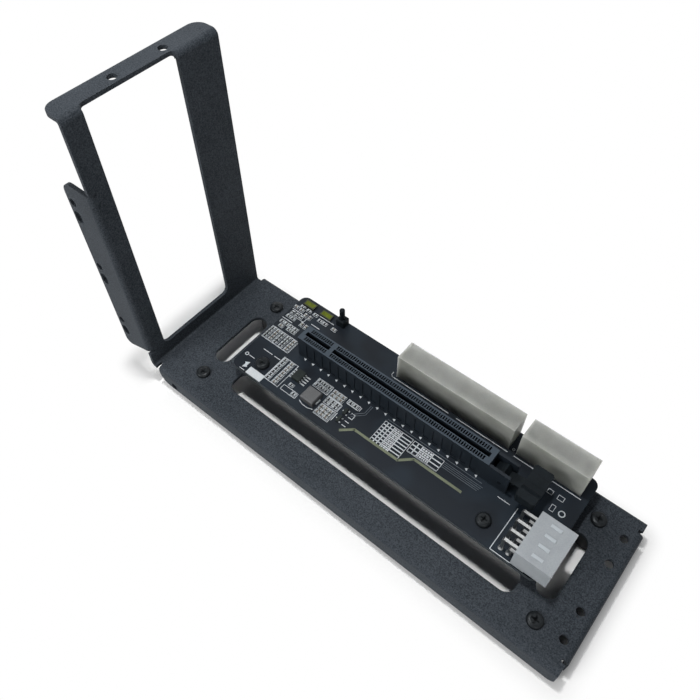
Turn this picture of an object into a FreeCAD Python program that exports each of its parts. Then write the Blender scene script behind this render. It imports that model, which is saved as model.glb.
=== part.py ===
import FreeCAD, Part
import os
import Sketcher

# External graphics card dock: a folded steel bracket carries a connector board with a card slot.
# Frame: millimetres, +Z up, origin on the floor under the middle of the whole dock,
# +X from the upright towards the open end, +Y towards the edge with the supply headers.

doc = FreeCAD.newDocument("card_dock")
sheet = doc.addObject("Spreadsheet::Sheet", "Sizes")

sizes = {
    # Folded steel bracket
    "sheet_gauge": 1.5,
    "bend_inside": 0.8,
    "base_length": 190.5,
    "base_width": 65.0,
    "flange_height": 9.0,
    "foot_clearance": 2.0,
    "relief_width": 1.2,
    "relief_past_bend": 0.3,
    "end_flange_inset": 5.6,
    "end_corner_setback": 1.0,
    "flange_lead_round": 5.0,
    "flange_end_round": 2.5,
    "flange_hole_inset": 10.3,
    "flange_hole_drop": 6.8,
    "upright_rise": 120.0,
    "upright_rear_inset": 2.7,
    "front_leg": 7.9,
    "window_width": 36.9,
    "window_sill": 6.5,
    "window_depth": 2.2,
    "window_corner": 3.0,
    "window_top_corner": 1.9,
    "shelf_depth": 9.6,
    "shelf_corner": 4.5,
    "shelf_hole_inset": 5.4,
    "shelf_hole_pitch": 20.32,
    "shelf_hole_shift": 1.2,
    "shelf_hole_dia": 3.4,
    "side_depth": 15.5,
    "side_bottom": 3.0,
    "side_bottom_slope": 5.2,
    "side_top": 90.5,
    "side_corner": 5.0,
    "side_hole_inset": 2.6,
    "side_hole_first": 20.1,
    "side_hole_pitch": 31.0,
    "side_hole_dia": 3.2,
    "side_slot_drop": 6.6,
    "side_slot_length": 5.2,
    "side_slot_width": 3.6,
    "small_hole_dia": 3.2,
    "end_hole_inset": 5.1,
    "end_hole_inner": 20.5,
    "end_hole_outer": 43.1,
    "cable_slot_length": 28.0,
    "cable_slot_width": 8.0,
    "cable_slot_left": 19.0,
    "cable_slot_right": 17.5,
    "vent_start": 31.6,
    "vent_length": 133.0,
    "vent_inset": 11.5,
    "vent_width": 10.5,
    "vent_corner": 4.0,
    # Feet and their fasteners
    "foot_left": 18.9,
    "foot_right": 15.4,
    "foot_inset": 10.2,
    "foot_dia": 15.0,
    "foot_screw_dia": 3.9,
    "foot_screw_length": 7.0,
    "foot_screw_head": 6.0,
    "foot_screw_head_rise": 1.4,
    "fit_gap": 0.1,
    # Connector board and what holds it
    "board_start": 28.2,
    "board_length": 141.0,
    "board_width": 45.8,
    "board_rear_inset": 1.1,
    "board_thickness": 1.6,
    "board_corner": 3.0,
    "standoff_height": 5.4,
    "standoff_across": 5.5,
    "board_screw_dia": 2.9,
    "board_screw_length": 5.6,
    "board_screw_head": 5.8,
    "board_screw_head_rise": 1.9,
    "board_screw_start": 39.0,
    "board_screw_pitch": 105.2,
    "board_screw_inset": 38.4,
    # Card slot
    "slot_start": 47.0,
    "slot_inset": 21.4,
    "slot_length": 89.0,
    "slot_width": 7.5,
    "slot_height": 11.25,
    "groove_width": 1.9,
    "groove_depth": 8.4,
    "groove_end_wall": 1.6,
    "key_centre": 14.5,
    "key_width": 1.7,
    "contact_start": 3.0,
    "contact_pitch": 1.0,
    "contacts_short": 11.0,
    "contacts_long": 71.0,
    "contacts_restart": 16.0,
    "cell_length": 0.62,
    "cell_inner": 1.3,
    "cell_outer": 3.1,
    "cell_depth": 9.6,
    "side_recess_pitch": 4.1,
    "side_recess_count": 20.0,
    "side_recess_start": 4.3,
    "side_recess_length": 2.5,
    "side_recess_depth": 0.35,
    "side_recess_low": 1.4,
    "side_recess_top": 1.6,
    # Retention latch at the end of the card slot
    "cradle_length": 8.6,
    "cradle_wall": 1.2,
    "cradle_drop": 0.5,
    "pivot_reach": 5.4,
    "pivot_height": 4.4,
    "pivot_dia": 1.6,
    "pivot_gap": 0.05,
    "latch_side_gap": 0.3,
    "latch_foot": 1.9,
    "latch_hook_reach": 1.6,
    "latch_hook_top": 9.6,
    "latch_hook_low": 7.2,
    "latch_arm_top": 8.6,
    "latch_arm_low": 6.4,
    "wing_start": 12.6,
    "wing_length": 7.4,
    "wing_span": 14.4,
    "wing_top": 11.3,
    "wing_low": 7.2,
    "valley_floor": 2.4,
    "valley_top": 7.6,
    "wing_bevel": 0.7,
    # Supply and card power headers, all on one contact pitch
    "header_pitch": 4.2,
    "header_end": 2.7,
    "header_cavity": 3.5,
    "header_cavity_depth": 7.4,
    "header_key_cut": 0.8,
    "pin_size": 1.07,
    "pin_stop": 1.4,
    "supply_start": 84.7,
    "supply_columns": 12.0,
    "aux_start": 139.5,
    "aux_columns": 6.0,
    "supply_inset": 0.2,
    "supply_depth": 9.0,
    "supply_height": 13.6,
    "supply_row_drop": 2.7,
    "card_start": 159.0,
    "card_depth": 13.3,
    "card_inset": 27.4,
    "card_columns": 4.0,
    "card_lift": 0.5,
    "card_height": 10.0,
    "card_cavity_depth": 10.4,
    "card_bend_upper": 5.6,
    "card_bend_lower": 2.6,
    "card_rib_length": 4.0,
    "card_rib_width": 1.2,
    "card_rib_rise": 0.25,
    # Host cable socket under the rear edge of the board
    "socket_start": 55.0,
    "socket_width": 19.6,
    "socket_depth": 13.0,
    "socket_height": 4.9,
    "socket_wall": 0.4,
    "tongue_width": 16.0,
    "tongue_thickness": 1.1,
    "tongue_reach": 8.0,
    "tongue_block": 4.0,
    # Push button
    "button_start": 50.9,
    "button_inset": 2.0,
    "button_size": 3.9,
    "button_body": 3.8,
    "button_corner": 0.4,
    "plunger_dia": 2.3,
    "plunger_top": 9.4,
    "plunger_bury": 1.4,
    "plunger_gap": 0.15,
    "plunger_travel": 0.3,
    "plunger_bevel": 0.4,
    # Indicator lamps
    "lamp_start": 33.9,
    "lamp_pitch": 9.2,
    "lamp_inset": 3.0,
    "lamp_length": 5.7,
    "lamp_width": 3.0,
    "lamp_height": 0.9,
    "lamp_rim": 0.5,
    "lamp_fill_depth": 0.35,
    # Regulator chip and choke
    "choke_start": 64.9,
    "choke_inset": 38.1,
    "choke_size": 6.3,
    "choke_height": 2.7,
    "choke_bevel": 0.35,
    "choke_foot": 0.5,
    "choke_foot_width": 2.6,
    "chip_start": 54.6,
    "chip_inset": 33.8,
    "chip_width": 3.9,
    "chip_length": 4.9,
    "chip_lift": 0.2,
    "chip_height": 1.45,
    "lead_pitch": 1.27,
    "lead_width": 0.42,
    "lead_thickness": 0.2,
    "lead_reach": 1.05,
    "lead_foot": 0.6,
}

for row, (alias, number) in enumerate(sizes.items(), start=1):
    sheet.set("A%d" % row, alias)
    sheet.set("B%d" % row, str(number))
    sheet.setAlias("B%d" % row, alias)
doc.recompute()

pieces = []

# Places that several pieces share, written as expressions on the sheet
half_width = "(Sizes.base_width / 2)"
upright_inner = "((Sizes.side_depth - Sizes.base_length) / 2)"
upright_outer = f"({upright_inner} - Sizes.sheet_gauge)"
base_end = "((Sizes.side_depth + Sizes.base_length) / 2)"
bend_zone = "(Sizes.sheet_gauge + Sizes.bend_inside)"
relief_depth = f"({bend_zone} + Sizes.relief_past_bend)"
plate_top = "(Sizes.foot_clearance + Sizes.flange_height)"
plate_under = f"({plate_top} - Sizes.sheet_gauge)"
upright_rear = f"({half_width} - Sizes.upright_rear_inset)"
upright_top = f"({plate_top} + Sizes.upright_rise)"
board_under = f"({plate_top} + Sizes.standoff_height)"
board_top = f"({board_under} + Sizes.board_thickness)"
board_rear = f"({half_width} - Sizes.board_rear_inset)"
slot_line = f"({board_rear} - Sizes.slot_inset)"


def along(distance):
    # X of a place measured from the inner face of the upright
    return f"({upright_inner} + {distance})"


def value(expression):
    return float(sheet.evalExpression(expression))


def new_body(label):
    body = doc.addObject("PartDesign::Body", label)
    pieces.append(body)
    return body


def origin_feature(body, role):
    return next(item for item in body.Origin.OriginFeatures if item.Role == role)


def new_sketch(body, plane, lift):
    # XZ sketches face -Y, so their lift is measured towards -Y
    sketch = body.newObject("Sketcher::SketchObject", body.Name + "_sketch")
    sketch.AttachmentSupport = [(origin_feature(body, plane + "_Plane"), "")]
    sketch.MapMode = "FlatFace"
    sketch.setExpression("AttachmentOffset.Base.z", lift)
    return sketch


def fix(sketch, kind, where, expression):
    number = sketch.addConstraint(Sketcher.Constraint(kind, *where, value(expression)))
    sketch.setExpression("Constraints[%d]" % number, expression)


def pin_point(sketch, geometry, point, u, v):
    fix(sketch, "DistanceX", (-1, 1, geometry, point), u)
    fix(sketch, "DistanceY", (-1, 1, geometry, point), v)


def outline(sketch, corners):
    first = sketch.GeometryCount
    spots = [FreeCAD.Vector(value(u), value(v), 0) for u, v in corners]
    count = len(corners)
    for index in range(count):
        sketch.addGeometry(Part.LineSegment(spots[index], spots[(index + 1) % count]))
    for index in range(count):
        after = first + (index + 1) % count
        sketch.addConstraint(Sketcher.Constraint("Coincident", first + index, 2, after, 1))
    for index, (u, v) in enumerate(corners):
        pin_point(sketch, first + index, 1, u, v)


def rectangle(sketch, low_u, low_v, high_u, high_v):
    outline(sketch, [(low_u, low_v), (high_u, low_v), (high_u, high_v), (low_u, high_v)])


def circle(sketch, u, v, diameter):
    centre = FreeCAD.Vector(value(u), value(v), 0)
    up = FreeCAD.Vector(0, 0, 1)
    number = sketch.addGeometry(Part.Circle(centre, up, value(diameter) / 2))
    pin_point(sketch, number, 3, u, v)
    fix(sketch, "Diameter", (number,), diameter)


def obround(sketch, u, v, length, width):
    # Round-ended slot that runs along the sketch's second axis
    reach = f"(({length} - {width}) / 2)"
    middle_u, middle_v = value(u), value(v)
    radius, half = value(width) / 2, value(reach)
    up = FreeCAD.Vector(0, 0, 1)
    low = Part.Circle(FreeCAD.Vector(middle_u, middle_v - half, 0), up, radius)
    high = Part.Circle(FreeCAD.Vector(middle_u, middle_v + half, 0), up, radius)
    corners = [FreeCAD.Vector(middle_u + side * radius, middle_v + end * half, 0)
               for side, end in ((1, -1), (1, 1), (-1, 1), (-1, -1))]
    first = sketch.addGeometry(Part.ArcOfCircle(low, 3.141592653589793, 6.283185307179586))
    sketch.addGeometry(Part.LineSegment(corners[0], corners[1]))
    sketch.addGeometry(Part.ArcOfCircle(high, 0.0, 3.141592653589793))
    sketch.addGeometry(Part.LineSegment(corners[2], corners[3]))
    for index in range(4):
        after = first + (index + 1) % 4
        sketch.addConstraint(Sketcher.Constraint("Tangent", first + index, 2, after, 1))
    pin_point(sketch, first, 3, u, f"({v} - {reach})")
    pin_point(sketch, first + 2, 3, u, f"({v} + {reach})")
    fix(sketch, "Diameter", (first,), width)


def rounded_rectangle(sketch, low_u, low_v, high_u, high_v, radius):
    left, low, right, high, corner = map(value, (low_u, low_v, high_u, high_v, radius))
    first = sketch.GeometryCount
    quarter = 1.5707963267948966
    up = FreeCAD.Vector(0, 0, 1)
    sides = [((left + corner, low), (right - corner, low)), ((right, low + corner), (right, high - corner)),
             ((right - corner, high), (left + corner, high)), ((left, high - corner), (left, low + corner))]
    centres = [(right - corner, low + corner), (right - corner, high - corner),
               (left + corner, high - corner), (left + corner, low + corner)]
    for turn, ((start, end), centre) in enumerate(zip(sides, centres), start=-1):
        sketch.addGeometry(Part.LineSegment(FreeCAD.Vector(*start, 0), FreeCAD.Vector(*end, 0)))
        round_corner = Part.Circle(FreeCAD.Vector(*centre, 0), up, corner)
        sketch.addGeometry(Part.ArcOfCircle(round_corner, turn * quarter, (turn + 1) * quarter))
    for index in range(8):
        after = first + (index + 1) % 8
        sketch.addConstraint(Sketcher.Constraint("Tangent", first + index, 2, after, 1))
    for index in (3, 5, 7):
        sketch.addConstraint(Sketcher.Constraint("Equal", first + 1, first + index))
    for index, kind in ((0, "Horizontal"), (2, "Vertical"), (4, "Horizontal"), (6, "Vertical")):
        sketch.addConstraint(Sketcher.Constraint(kind, first + index))
    fix(sketch, "Radius", (first + 1,), radius)
    fix(sketch, "DistanceY", (-1, 1, first, 1), low_v)
    fix(sketch, "DistanceX", (-1, 1, first + 2, 1), high_u)
    fix(sketch, "DistanceY", (-1, 1, first + 4, 1), high_v)
    fix(sketch, "DistanceX", (-1, 1, first + 6, 1), low_u)


def pad(body, sketch, length, reverse=False):
    feature = body.newObject("PartDesign::Pad", body.Name + "_pad")
    feature.Profile = sketch
    feature.setExpression("Length", length)
    feature.Reversed = reverse
    doc.recompute()
    return feature


def pocket(body, sketch, depth, reverse=False):
    before = body.Shape.Volume
    feature = body.newObject("PartDesign::Pocket", body.Name + "_pocket")
    feature.Profile = sketch
    feature.setExpression("Length", depth)
    feature.Reversed = reverse
    doc.recompute()
    if not 0 < body.Shape.Volume < before:
        raise ValueError("a pocket in %s failed" % body.Label)
    return feature


def repeat(body, features, axis, pitch, count, backwards=False):
    feature = body.newObject("PartDesign::LinearPattern", body.Name + "_row")
    feature.Originals = features
    feature.Direction = (origin_feature(body, axis + "_Axis"), [""])
    feature.Reversed = backwards
    feature.setExpression("Length", f"{pitch} * ({count} - 1)")
    feature.setExpression("Occurrences", count)
    body.Tip = feature
    doc.recompute()
    return feature


def edges_where(shape, **places):
    # Names of the edges that lie at the given coordinates, or between a given pair of them
    limits = {}
    for axis, place in places.items():
        low, high = place if isinstance(place, tuple) else (place, place)
        limits[axis] = (value(low) - 1e-4, value(high) + 1e-4)
    names = []
    for number, edge in enumerate(shape.Edges, start=1):
        ends = [vertex.Point for vertex in edge.Vertexes]
        if all(low < getattr(end, axis) < high for end in ends for axis, (low, high) in limits.items()):
            names.append("Edge%d" % number)
    if not names:
        raise ValueError("no edge at %s" % places)
    return names


def dress(body, kind, size_name, size, places):
    feature = body.newObject(kind, body.Name + "_edge")
    base = body.Tip if body.Tip != feature else feature.BaseFeature
    names = [name for place in places for name in edges_where(base.Shape, **place)]
    feature.Base = (base, names)
    feature.setExpression(size_name, size)
    body.Tip = feature
    doc.recompute()
    return feature


def round_off(body, radius, *places):
    return dress(body, "PartDesign::Fillet", "Radius", radius, places)


def bevel(body, size, *places):
    return dress(body, "PartDesign::Chamfer", "Size", size, places)


# Folded steel bracket: base with turned-down flanges, upright with its window, shelf and side flange

flange_start = f"({upright_outer} + {relief_depth} + Sizes.relief_width)"
flange_end = f"({base_end} - Sizes.end_corner_setback)"
end_flange_half = f"({half_width} - Sizes.end_flange_inset)"
side_low = f"({plate_top} + Sizes.side_bottom)"
side_root = f"({side_low} + Sizes.side_bottom_slope)"
side_high = f"({plate_top} + Sizes.side_top)"
side_outer = f"({upright_inner} - Sizes.side_depth)"
shelf_outer = f"({upright_inner} - Sizes.shelf_depth)"
window_front = f"(Sizes.front_leg - {half_width})"
window_rear = f"({window_front} + Sizes.window_width)"
window_low = f"({plate_top} + Sizes.window_sill)"

bracket = new_body("bracket")

base_sketch = new_sketch(bracket, "XY", plate_under)
bend_line = f"({upright_outer} + {relief_depth})"
end_zone = f"({base_end} - {relief_depth})"
relief_half = f"({end_flange_half} + Sizes.relief_width)"
outline(base_sketch, [
    (upright_outer, f"-{half_width}"),
    (bend_line, f"-{half_width}"),
    (bend_line, f"{relief_depth} - {half_width}"),
    (flange_start, f"{relief_depth} - {half_width}"),
    (flange_start, f"-{half_width}"),
    (flange_end, f"-{half_width}"),
    (flange_end, f"-{relief_half}"),
    (end_zone, f"-{relief_half}"),
    (end_zone, f"-{end_flange_half}"),
    (base_end, f"-{end_flange_half}"),
    (base_end, end_flange_half),
    (end_zone, end_flange_half),
    (end_zone, relief_half),
    (flange_end, relief_half),
    (flange_end, half_width),
    (flange_start, half_width),
    (flange_start, upright_rear),
    (upright_outer, upright_rear),
])
pad(bracket, base_sketch, "Sizes.sheet_gauge")

# The upright has bend reliefs where the side flange begins and ends
upright_sketch = new_sketch(bracket, "YZ", upright_outer)
outline(upright_sketch, [
    (f"-{half_width}", plate_under),
    (upright_rear, plate_under),
    (upright_rear, upright_top),
    (f"-{half_width}", upright_top),
    (f"-{half_width}", f"{side_high} + Sizes.relief_width"),
    (f"{relief_depth} - {half_width}", f"{side_high} + Sizes.relief_width"),
    (f"{relief_depth} - {half_width}", side_high),
    (f"-{half_width}", side_high),
    (f"-{half_width}", side_root),
    (f"{relief_depth} - {half_width}", side_root),
    (f"{relief_depth} - {half_width}", f"{side_root} - Sizes.relief_width"),
    (f"-{half_width}", f"{side_root} - Sizes.relief_width"),
])
pad(bracket, upright_sketch, "Sizes.sheet_gauge")

shelf_sketch = new_sketch(bracket, "XY", f"{upright_top} - Sizes.sheet_gauge")
rectangle(shelf_sketch, shelf_outer, f"-{half_width}", upright_inner, upright_rear)
pad(bracket, shelf_sketch, "Sizes.sheet_gauge")

long_flanges = new_sketch(bracket, "YZ", flange_start)
rectangle(long_flanges, f"-{half_width}", "Sizes.foot_clearance",
          f"Sizes.sheet_gauge - {half_width}", plate_top)
rectangle(long_flanges, f"{half_width} - Sizes.sheet_gauge", "Sizes.foot_clearance",
          half_width, plate_top)
pad(bracket, long_flanges, f"{flange_end} - {flange_start}")

end_flange = new_sketch(bracket, "XZ", end_flange_half)
rectangle(end_flange, f"{base_end} - Sizes.sheet_gauge", "Sizes.foot_clearance", base_end, plate_top)
pad(bracket, end_flange, f"2 * {end_flange_half}", reverse=True)

side_flange = new_sketch(bracket, "XZ", half_width)
outline(side_flange, [
    (side_outer, side_low),
    (f"({upright_inner} - {bend_zone})", side_root),
    (upright_inner, side_root),
    (upright_inner, side_high),
    (side_outer, side_high),
])
pad(bracket, side_flange, "Sizes.sheet_gauge", reverse=True)

# Bend radii: the outside of each fold, then its inside
round_off(bracket, bend_zone,
          dict(x=upright_outer, z=plate_under),
          dict(x=upright_inner, z=upright_top),
          dict(x=(flange_start, flange_end), y=f"-{half_width}", z=plate_top),
          dict(x=(flange_start, flange_end), y=half_width, z=plate_top),
          dict(x=base_end, z=plate_top),
          dict(x=upright_inner, y=f"-{half_width}", z=(side_root, side_high)))
round_off(bracket, "Sizes.bend_inside",
          dict(x=upright_inner, z=plate_top),
          dict(x=upright_outer, z=f"{upright_top} - Sizes.sheet_gauge"),
          dict(y=f"Sizes.sheet_gauge - {half_width}", z=plate_under),
          dict(y=f"{half_width} - Sizes.sheet_gauge", z=plate_under),
          dict(x=f"{base_end} - Sizes.sheet_gauge", z=plate_under),
          dict(x=upright_outer, y=f"Sizes.sheet_gauge - {half_width}"))

# Corners of the shelf and the flanges
round_off(bracket, "Sizes.shelf_corner",
          dict(x=shelf_outer, y=f"-{half_width}"),
          dict(x=shelf_outer, y=upright_rear))
round_off(bracket, "Sizes.side_corner", dict(x=side_outer, z=side_high))
round_off(bracket, "Sizes.flange_end_round",
          dict(x=side_outer, z=side_low),
          dict(x=flange_end, z="Sizes.foot_clearance"))
round_off(bracket, "Sizes.flange_lead_round", dict(x=flange_start, z="Sizes.foot_clearance"))

# Window in the upright, with a round-cornered notch that takes it on through the top fold
window_back = f"({upright_inner} - Sizes.window_depth)"
notch_drop = f"({bend_zone} + Sizes.relief_past_bend)"
window = new_sketch(bracket, "YZ", upright_inner)
rectangle(window, window_front, window_low, window_rear, f"({upright_top} - {notch_drop})")
pocket(bracket, window, "Sizes.window_depth")
round_off(bracket, "Sizes.window_corner",
          dict(y=window_front, z=window_low),
          dict(y=window_rear, z=window_low))
notch = new_sketch(bracket, "XY", upright_top)
rounded_rectangle(notch, window_back, window_front, f"({upright_inner} + Sizes.window_depth)",
                  window_rear, "Sizes.window_top_corner")
pocket(bracket, notch, notch_drop)

# Openings and holes in the base
slot_left = along("Sizes.cable_slot_left")
slot_right = f"({base_end} - Sizes.cable_slot_right)"
openings = new_sketch(bracket, "XY", plate_top)
obround(openings, slot_left, "0", "Sizes.cable_slot_length", "Sizes.cable_slot_width")
obround(openings, slot_right, "0", "Sizes.cable_slot_length", "Sizes.cable_slot_width")
pocket(bracket, openings, "Sizes.sheet_gauge")

vent_left = along("Sizes.vent_start")
vent_right = f"({vent_left} + Sizes.vent_length)"
vent_near = f"(Sizes.vent_inset - {half_width})"
vent_far = f"({vent_near} + Sizes.vent_width)"
vent = new_sketch(bracket, "XY", plate_top)
rounded_rectangle(vent, vent_left, vent_near, vent_right, vent_far, "Sizes.vent_corner")
pocket(bracket, vent, "Sizes.sheet_gauge")

foot_rows = (f"(Sizes.foot_inset - {half_width})", f"({half_width} - Sizes.foot_inset)")
foot_columns = (along("Sizes.foot_left"), f"({base_end} - Sizes.foot_right)")
foot_places = [(x, y) for x in foot_columns for y in foot_rows]
foot_hole = "(Sizes.foot_screw_dia + 4 * Sizes.fit_gap)"
end_hole_line = f"({base_end} - Sizes.end_hole_inset)"
holes = new_sketch(bracket, "XY", plate_top)
for x, y in foot_places:
    circle(holes, x, y, foot_hole)
for spread in ("Sizes.end_hole_inner", "Sizes.end_hole_outer"):
    circle(holes, end_hole_line, f"({spread} / 2)", "Sizes.small_hole_dia")
    circle(holes, end_hole_line, f"(-{spread} / 2)", "Sizes.small_hole_dia")
pocket(bracket, holes, "Sizes.sheet_gauge")

# Two holes on the pitch of card brackets, and the holes of the side and front flanges
shelf_hole_line = f"({upright_inner} - Sizes.shelf_hole_inset)"
shelf_hole_rear = f"({slot_line} + Sizes.shelf_hole_shift)"
shelf_holes = new_sketch(bracket, "XY", upright_top)
circle(shelf_holes, shelf_hole_line, shelf_hole_rear, "Sizes.shelf_hole_dia")
circle(shelf_holes, shelf_hole_line, f"({shelf_hole_rear} - Sizes.shelf_hole_pitch)",
       "Sizes.shelf_hole_dia")
pocket(bracket, shelf_holes, "Sizes.sheet_gauge")

side_hole_line = f"({side_outer} + Sizes.side_hole_inset)"
side_holes = new_sketch(bracket, "XZ", half_width)
for step in range(3):
    height = f"({plate_top} + Sizes.side_hole_first + {step} * Sizes.side_hole_pitch)"
    circle(side_holes, side_hole_line, height, "Sizes.side_hole_dia")
    obround(side_holes, side_hole_line, f"({height} - Sizes.side_slot_drop)",
            "Sizes.side_slot_length", "Sizes.side_slot_width")
pocket(bracket, side_holes, "Sizes.sheet_gauge")

flange_hole = new_sketch(bracket, "XZ", half_width)
circle(flange_hole, along("Sizes.flange_hole_inset"), f"({plate_top} - Sizes.flange_hole_drop)",
       "Sizes.small_hole_dia")
pocket(bracket, flange_hole, "Sizes.sheet_gauge")


# Rubber feet, each held by a button-head screw from above

feet = new_body("rubber_feet")
feet_sketch = new_sketch(feet, "XY", "0")
for x, y in foot_places:
    circle(feet_sketch, x, y, "Sizes.foot_dia")
pad(feet, feet_sketch, plate_under)
bores = new_sketch(feet, "XY", plate_under)
for x, y in foot_places:
    circle(bores, x, y, "Sizes.foot_screw_dia + 2 * Sizes.fit_gap")
pocket(feet, bores, "Sizes.foot_screw_length - Sizes.sheet_gauge + Sizes.fit_gap")


def screws(label, places, seat, head, rise, shank, length):
    body = new_body(label)
    stem = new_sketch(body, "XY", seat)
    for x, y in places:
        circle(stem, x, y, shank)
    pad(body, stem, length, reverse=True)
    cap = new_sketch(body, "XY", seat)
    for x, y in places:
        circle(cap, x, y, head)
    pad(body, cap, rise)


screws("foot_screws", foot_places, plate_top, "Sizes.foot_screw_head", "Sizes.foot_screw_head_rise",
       "Sizes.foot_screw_dia", "Sizes.foot_screw_length")

# Connector board on two hexagonal standoffs

board_left = along("Sizes.board_start")
board_right = f"({board_left} + Sizes.board_length)"
board_front = f"({board_rear} - Sizes.board_width)"
board_screw_first = along("Sizes.board_screw_start")
board_screw_row = f"({board_rear} - Sizes.board_screw_inset)"
board_screw_places = [(board_screw_first, board_screw_row),
                      (f"({board_screw_first} + Sizes.board_screw_pitch)", board_screw_row)]
board_hole = "(Sizes.board_screw_dia + 4 * Sizes.fit_gap)"

board = new_body("board")
board_sketch = new_sketch(board, "XY", board_under)
rectangle(board_sketch, board_left, board_front, board_right, board_rear)
pad(board, board_sketch, "Sizes.board_thickness")
round_off(board, "Sizes.board_corner",
          dict(x=board_left, y=board_front),
          dict(x=board_right, y=board_front),
          dict(x=board_left, y=board_rear),
          dict(x=board_right, y=board_rear))
board_holes = new_sketch(board, "XY", board_top)
for x, y in board_screw_places:
    circle(board_holes, x, y, board_hole)
pocket(board, board_holes, "Sizes.board_thickness")


def hexagon(sketch, u, v, across_flats):
    half, point = f"({across_flats} / 2)", f"({across_flats} / sqrt(3))"
    outline(sketch, [(f"{u} + {point}", v), (f"{u} + {point} / 2", f"{v} + {half}"),
                     (f"{u} - {point} / 2", f"{v} + {half}"), (f"{u} - {point}", v),
                     (f"{u} - {point} / 2", f"{v} - {half}"), (f"{u} + {point} / 2", f"{v} - {half}")])


standoffs = new_body("board_standoffs")
standoff_sketch = new_sketch(standoffs, "XY", plate_top)
for x, y in board_screw_places:
    hexagon(standoff_sketch, x, y, "Sizes.standoff_across")
    circle(standoff_sketch, x, y, "Sizes.board_screw_dia + 2 * Sizes.fit_gap")
pad(standoffs, standoff_sketch, "Sizes.standoff_height")

screws("board_screws", board_screw_places, board_top, "Sizes.board_screw_head",
       "Sizes.board_screw_head_rise", "Sizes.board_screw_dia", "Sizes.board_screw_length")

# Card slot housing: groove with its key rib, contact cells in two rows, recessed long sides
# and the open cradle of the latch past its end

slot_left_end = along("Sizes.slot_start")
slot_right_end = f"({slot_left_end} + Sizes.slot_length)"
slot_half = "(Sizes.slot_width / 2)"
slot_top = f"({board_top} + Sizes.slot_height)"
cradle_end = f"({slot_right_end} + Sizes.cradle_length)"
cradle_top = f"({slot_top} - Sizes.cradle_drop)"
cradle_inner = f"({slot_half} - Sizes.cradle_wall)"
pivot_x = f"({slot_right_end} + Sizes.pivot_reach)"
pivot_z = f"({board_top} + Sizes.pivot_height)"
key_low = f"({slot_left_end} + Sizes.key_centre - Sizes.key_width / 2)"
key_high = f"({slot_left_end} + Sizes.key_centre + Sizes.key_width / 2)"


def across(offset):
    # Y of a place measured from the line of the card slot
    return f"({slot_line} + {offset})"


slot = new_body("slot_housing")
slot_block = new_sketch(slot, "XY", board_top)
rectangle(slot_block, slot_left_end, across(f"-{slot_half}"), slot_right_end, across(slot_half))
pad(slot, slot_block, "Sizes.slot_height")

cradle = new_sketch(slot, "XY", board_top)
rectangle(cradle, slot_right_end, across(f"-{slot_half}"), cradle_end, across(f"-{cradle_inner}"))
rectangle(cradle, slot_right_end, across(cradle_inner), cradle_end, across(slot_half))
pad(slot, cradle, f"{cradle_top} - {board_top}")

pivot_holes = new_sketch(slot, "XZ", f"-{across(slot_half)}")
circle(pivot_holes, pivot_x, pivot_z, "Sizes.pivot_dia + 2 * Sizes.pivot_gap")
pocket(slot, pivot_holes, "Sizes.slot_width", reverse=True)

groove = new_sketch(slot, "XY", slot_top)
groove_half = "(Sizes.groove_width / 2)"
groove_ends = [(f"({slot_left_end} + Sizes.groove_end_wall)", key_low),
               (key_high, f"({slot_right_end} - Sizes.groove_end_wall)")]
for low, high in groove_ends:
    rectangle(groove, low, across(f"-{groove_half}"), high, across(groove_half))
pocket(slot, groove, "Sizes.groove_depth")


def contact_place(start):
    return f"({slot_left_end} + {start})"


contact_banks = [("Sizes.contact_start", "Sizes.contacts_short"),
                 ("Sizes.contacts_restart", "Sizes.contacts_long")]
for start, count in contact_banks:
    cells = new_sketch(slot, "XY", slot_top)
    low = f"({contact_place(start)} - Sizes.cell_length / 2)"
    high = f"({contact_place(start)} + Sizes.cell_length / 2)"
    rectangle(cells, low, across("Sizes.cell_inner"), high, across("Sizes.cell_outer"))
    rectangle(cells, low, across("-Sizes.cell_outer"), high, across("-Sizes.cell_inner"))
    first_cells = pocket(slot, cells, "Sizes.cell_depth")
    repeat(slot, [first_cells], "X", "Sizes.contact_pitch", count)

recess_low = f"({slot_left_end} + Sizes.side_recess_start)"
recess_high = f"({recess_low} + Sizes.side_recess_length)"
recess_foot = f"({board_top} + Sizes.side_recess_low)"
recess_head = f"({slot_top} - Sizes.side_recess_top)"
front_recess = new_sketch(slot, "XZ", f"-{across(f'-{slot_half}')}")
rectangle(front_recess, recess_low, recess_foot, recess_high, recess_head)
front_cut = pocket(slot, front_recess, "Sizes.side_recess_depth")
repeat(slot, [front_cut], "X", "Sizes.side_recess_pitch", "Sizes.side_recess_count")

# Retention latch: a lever on two pivot pegs, with a hook for the card and a pair of finger wings

latch = new_body("slot_latch")
latch_half = f"({cradle_inner} - Sizes.latch_side_gap)"


def past_slot(distance):
    return f"({slot_right_end} + {distance})"


def above_board(height):
    return f"({board_top} + {height})"


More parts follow.
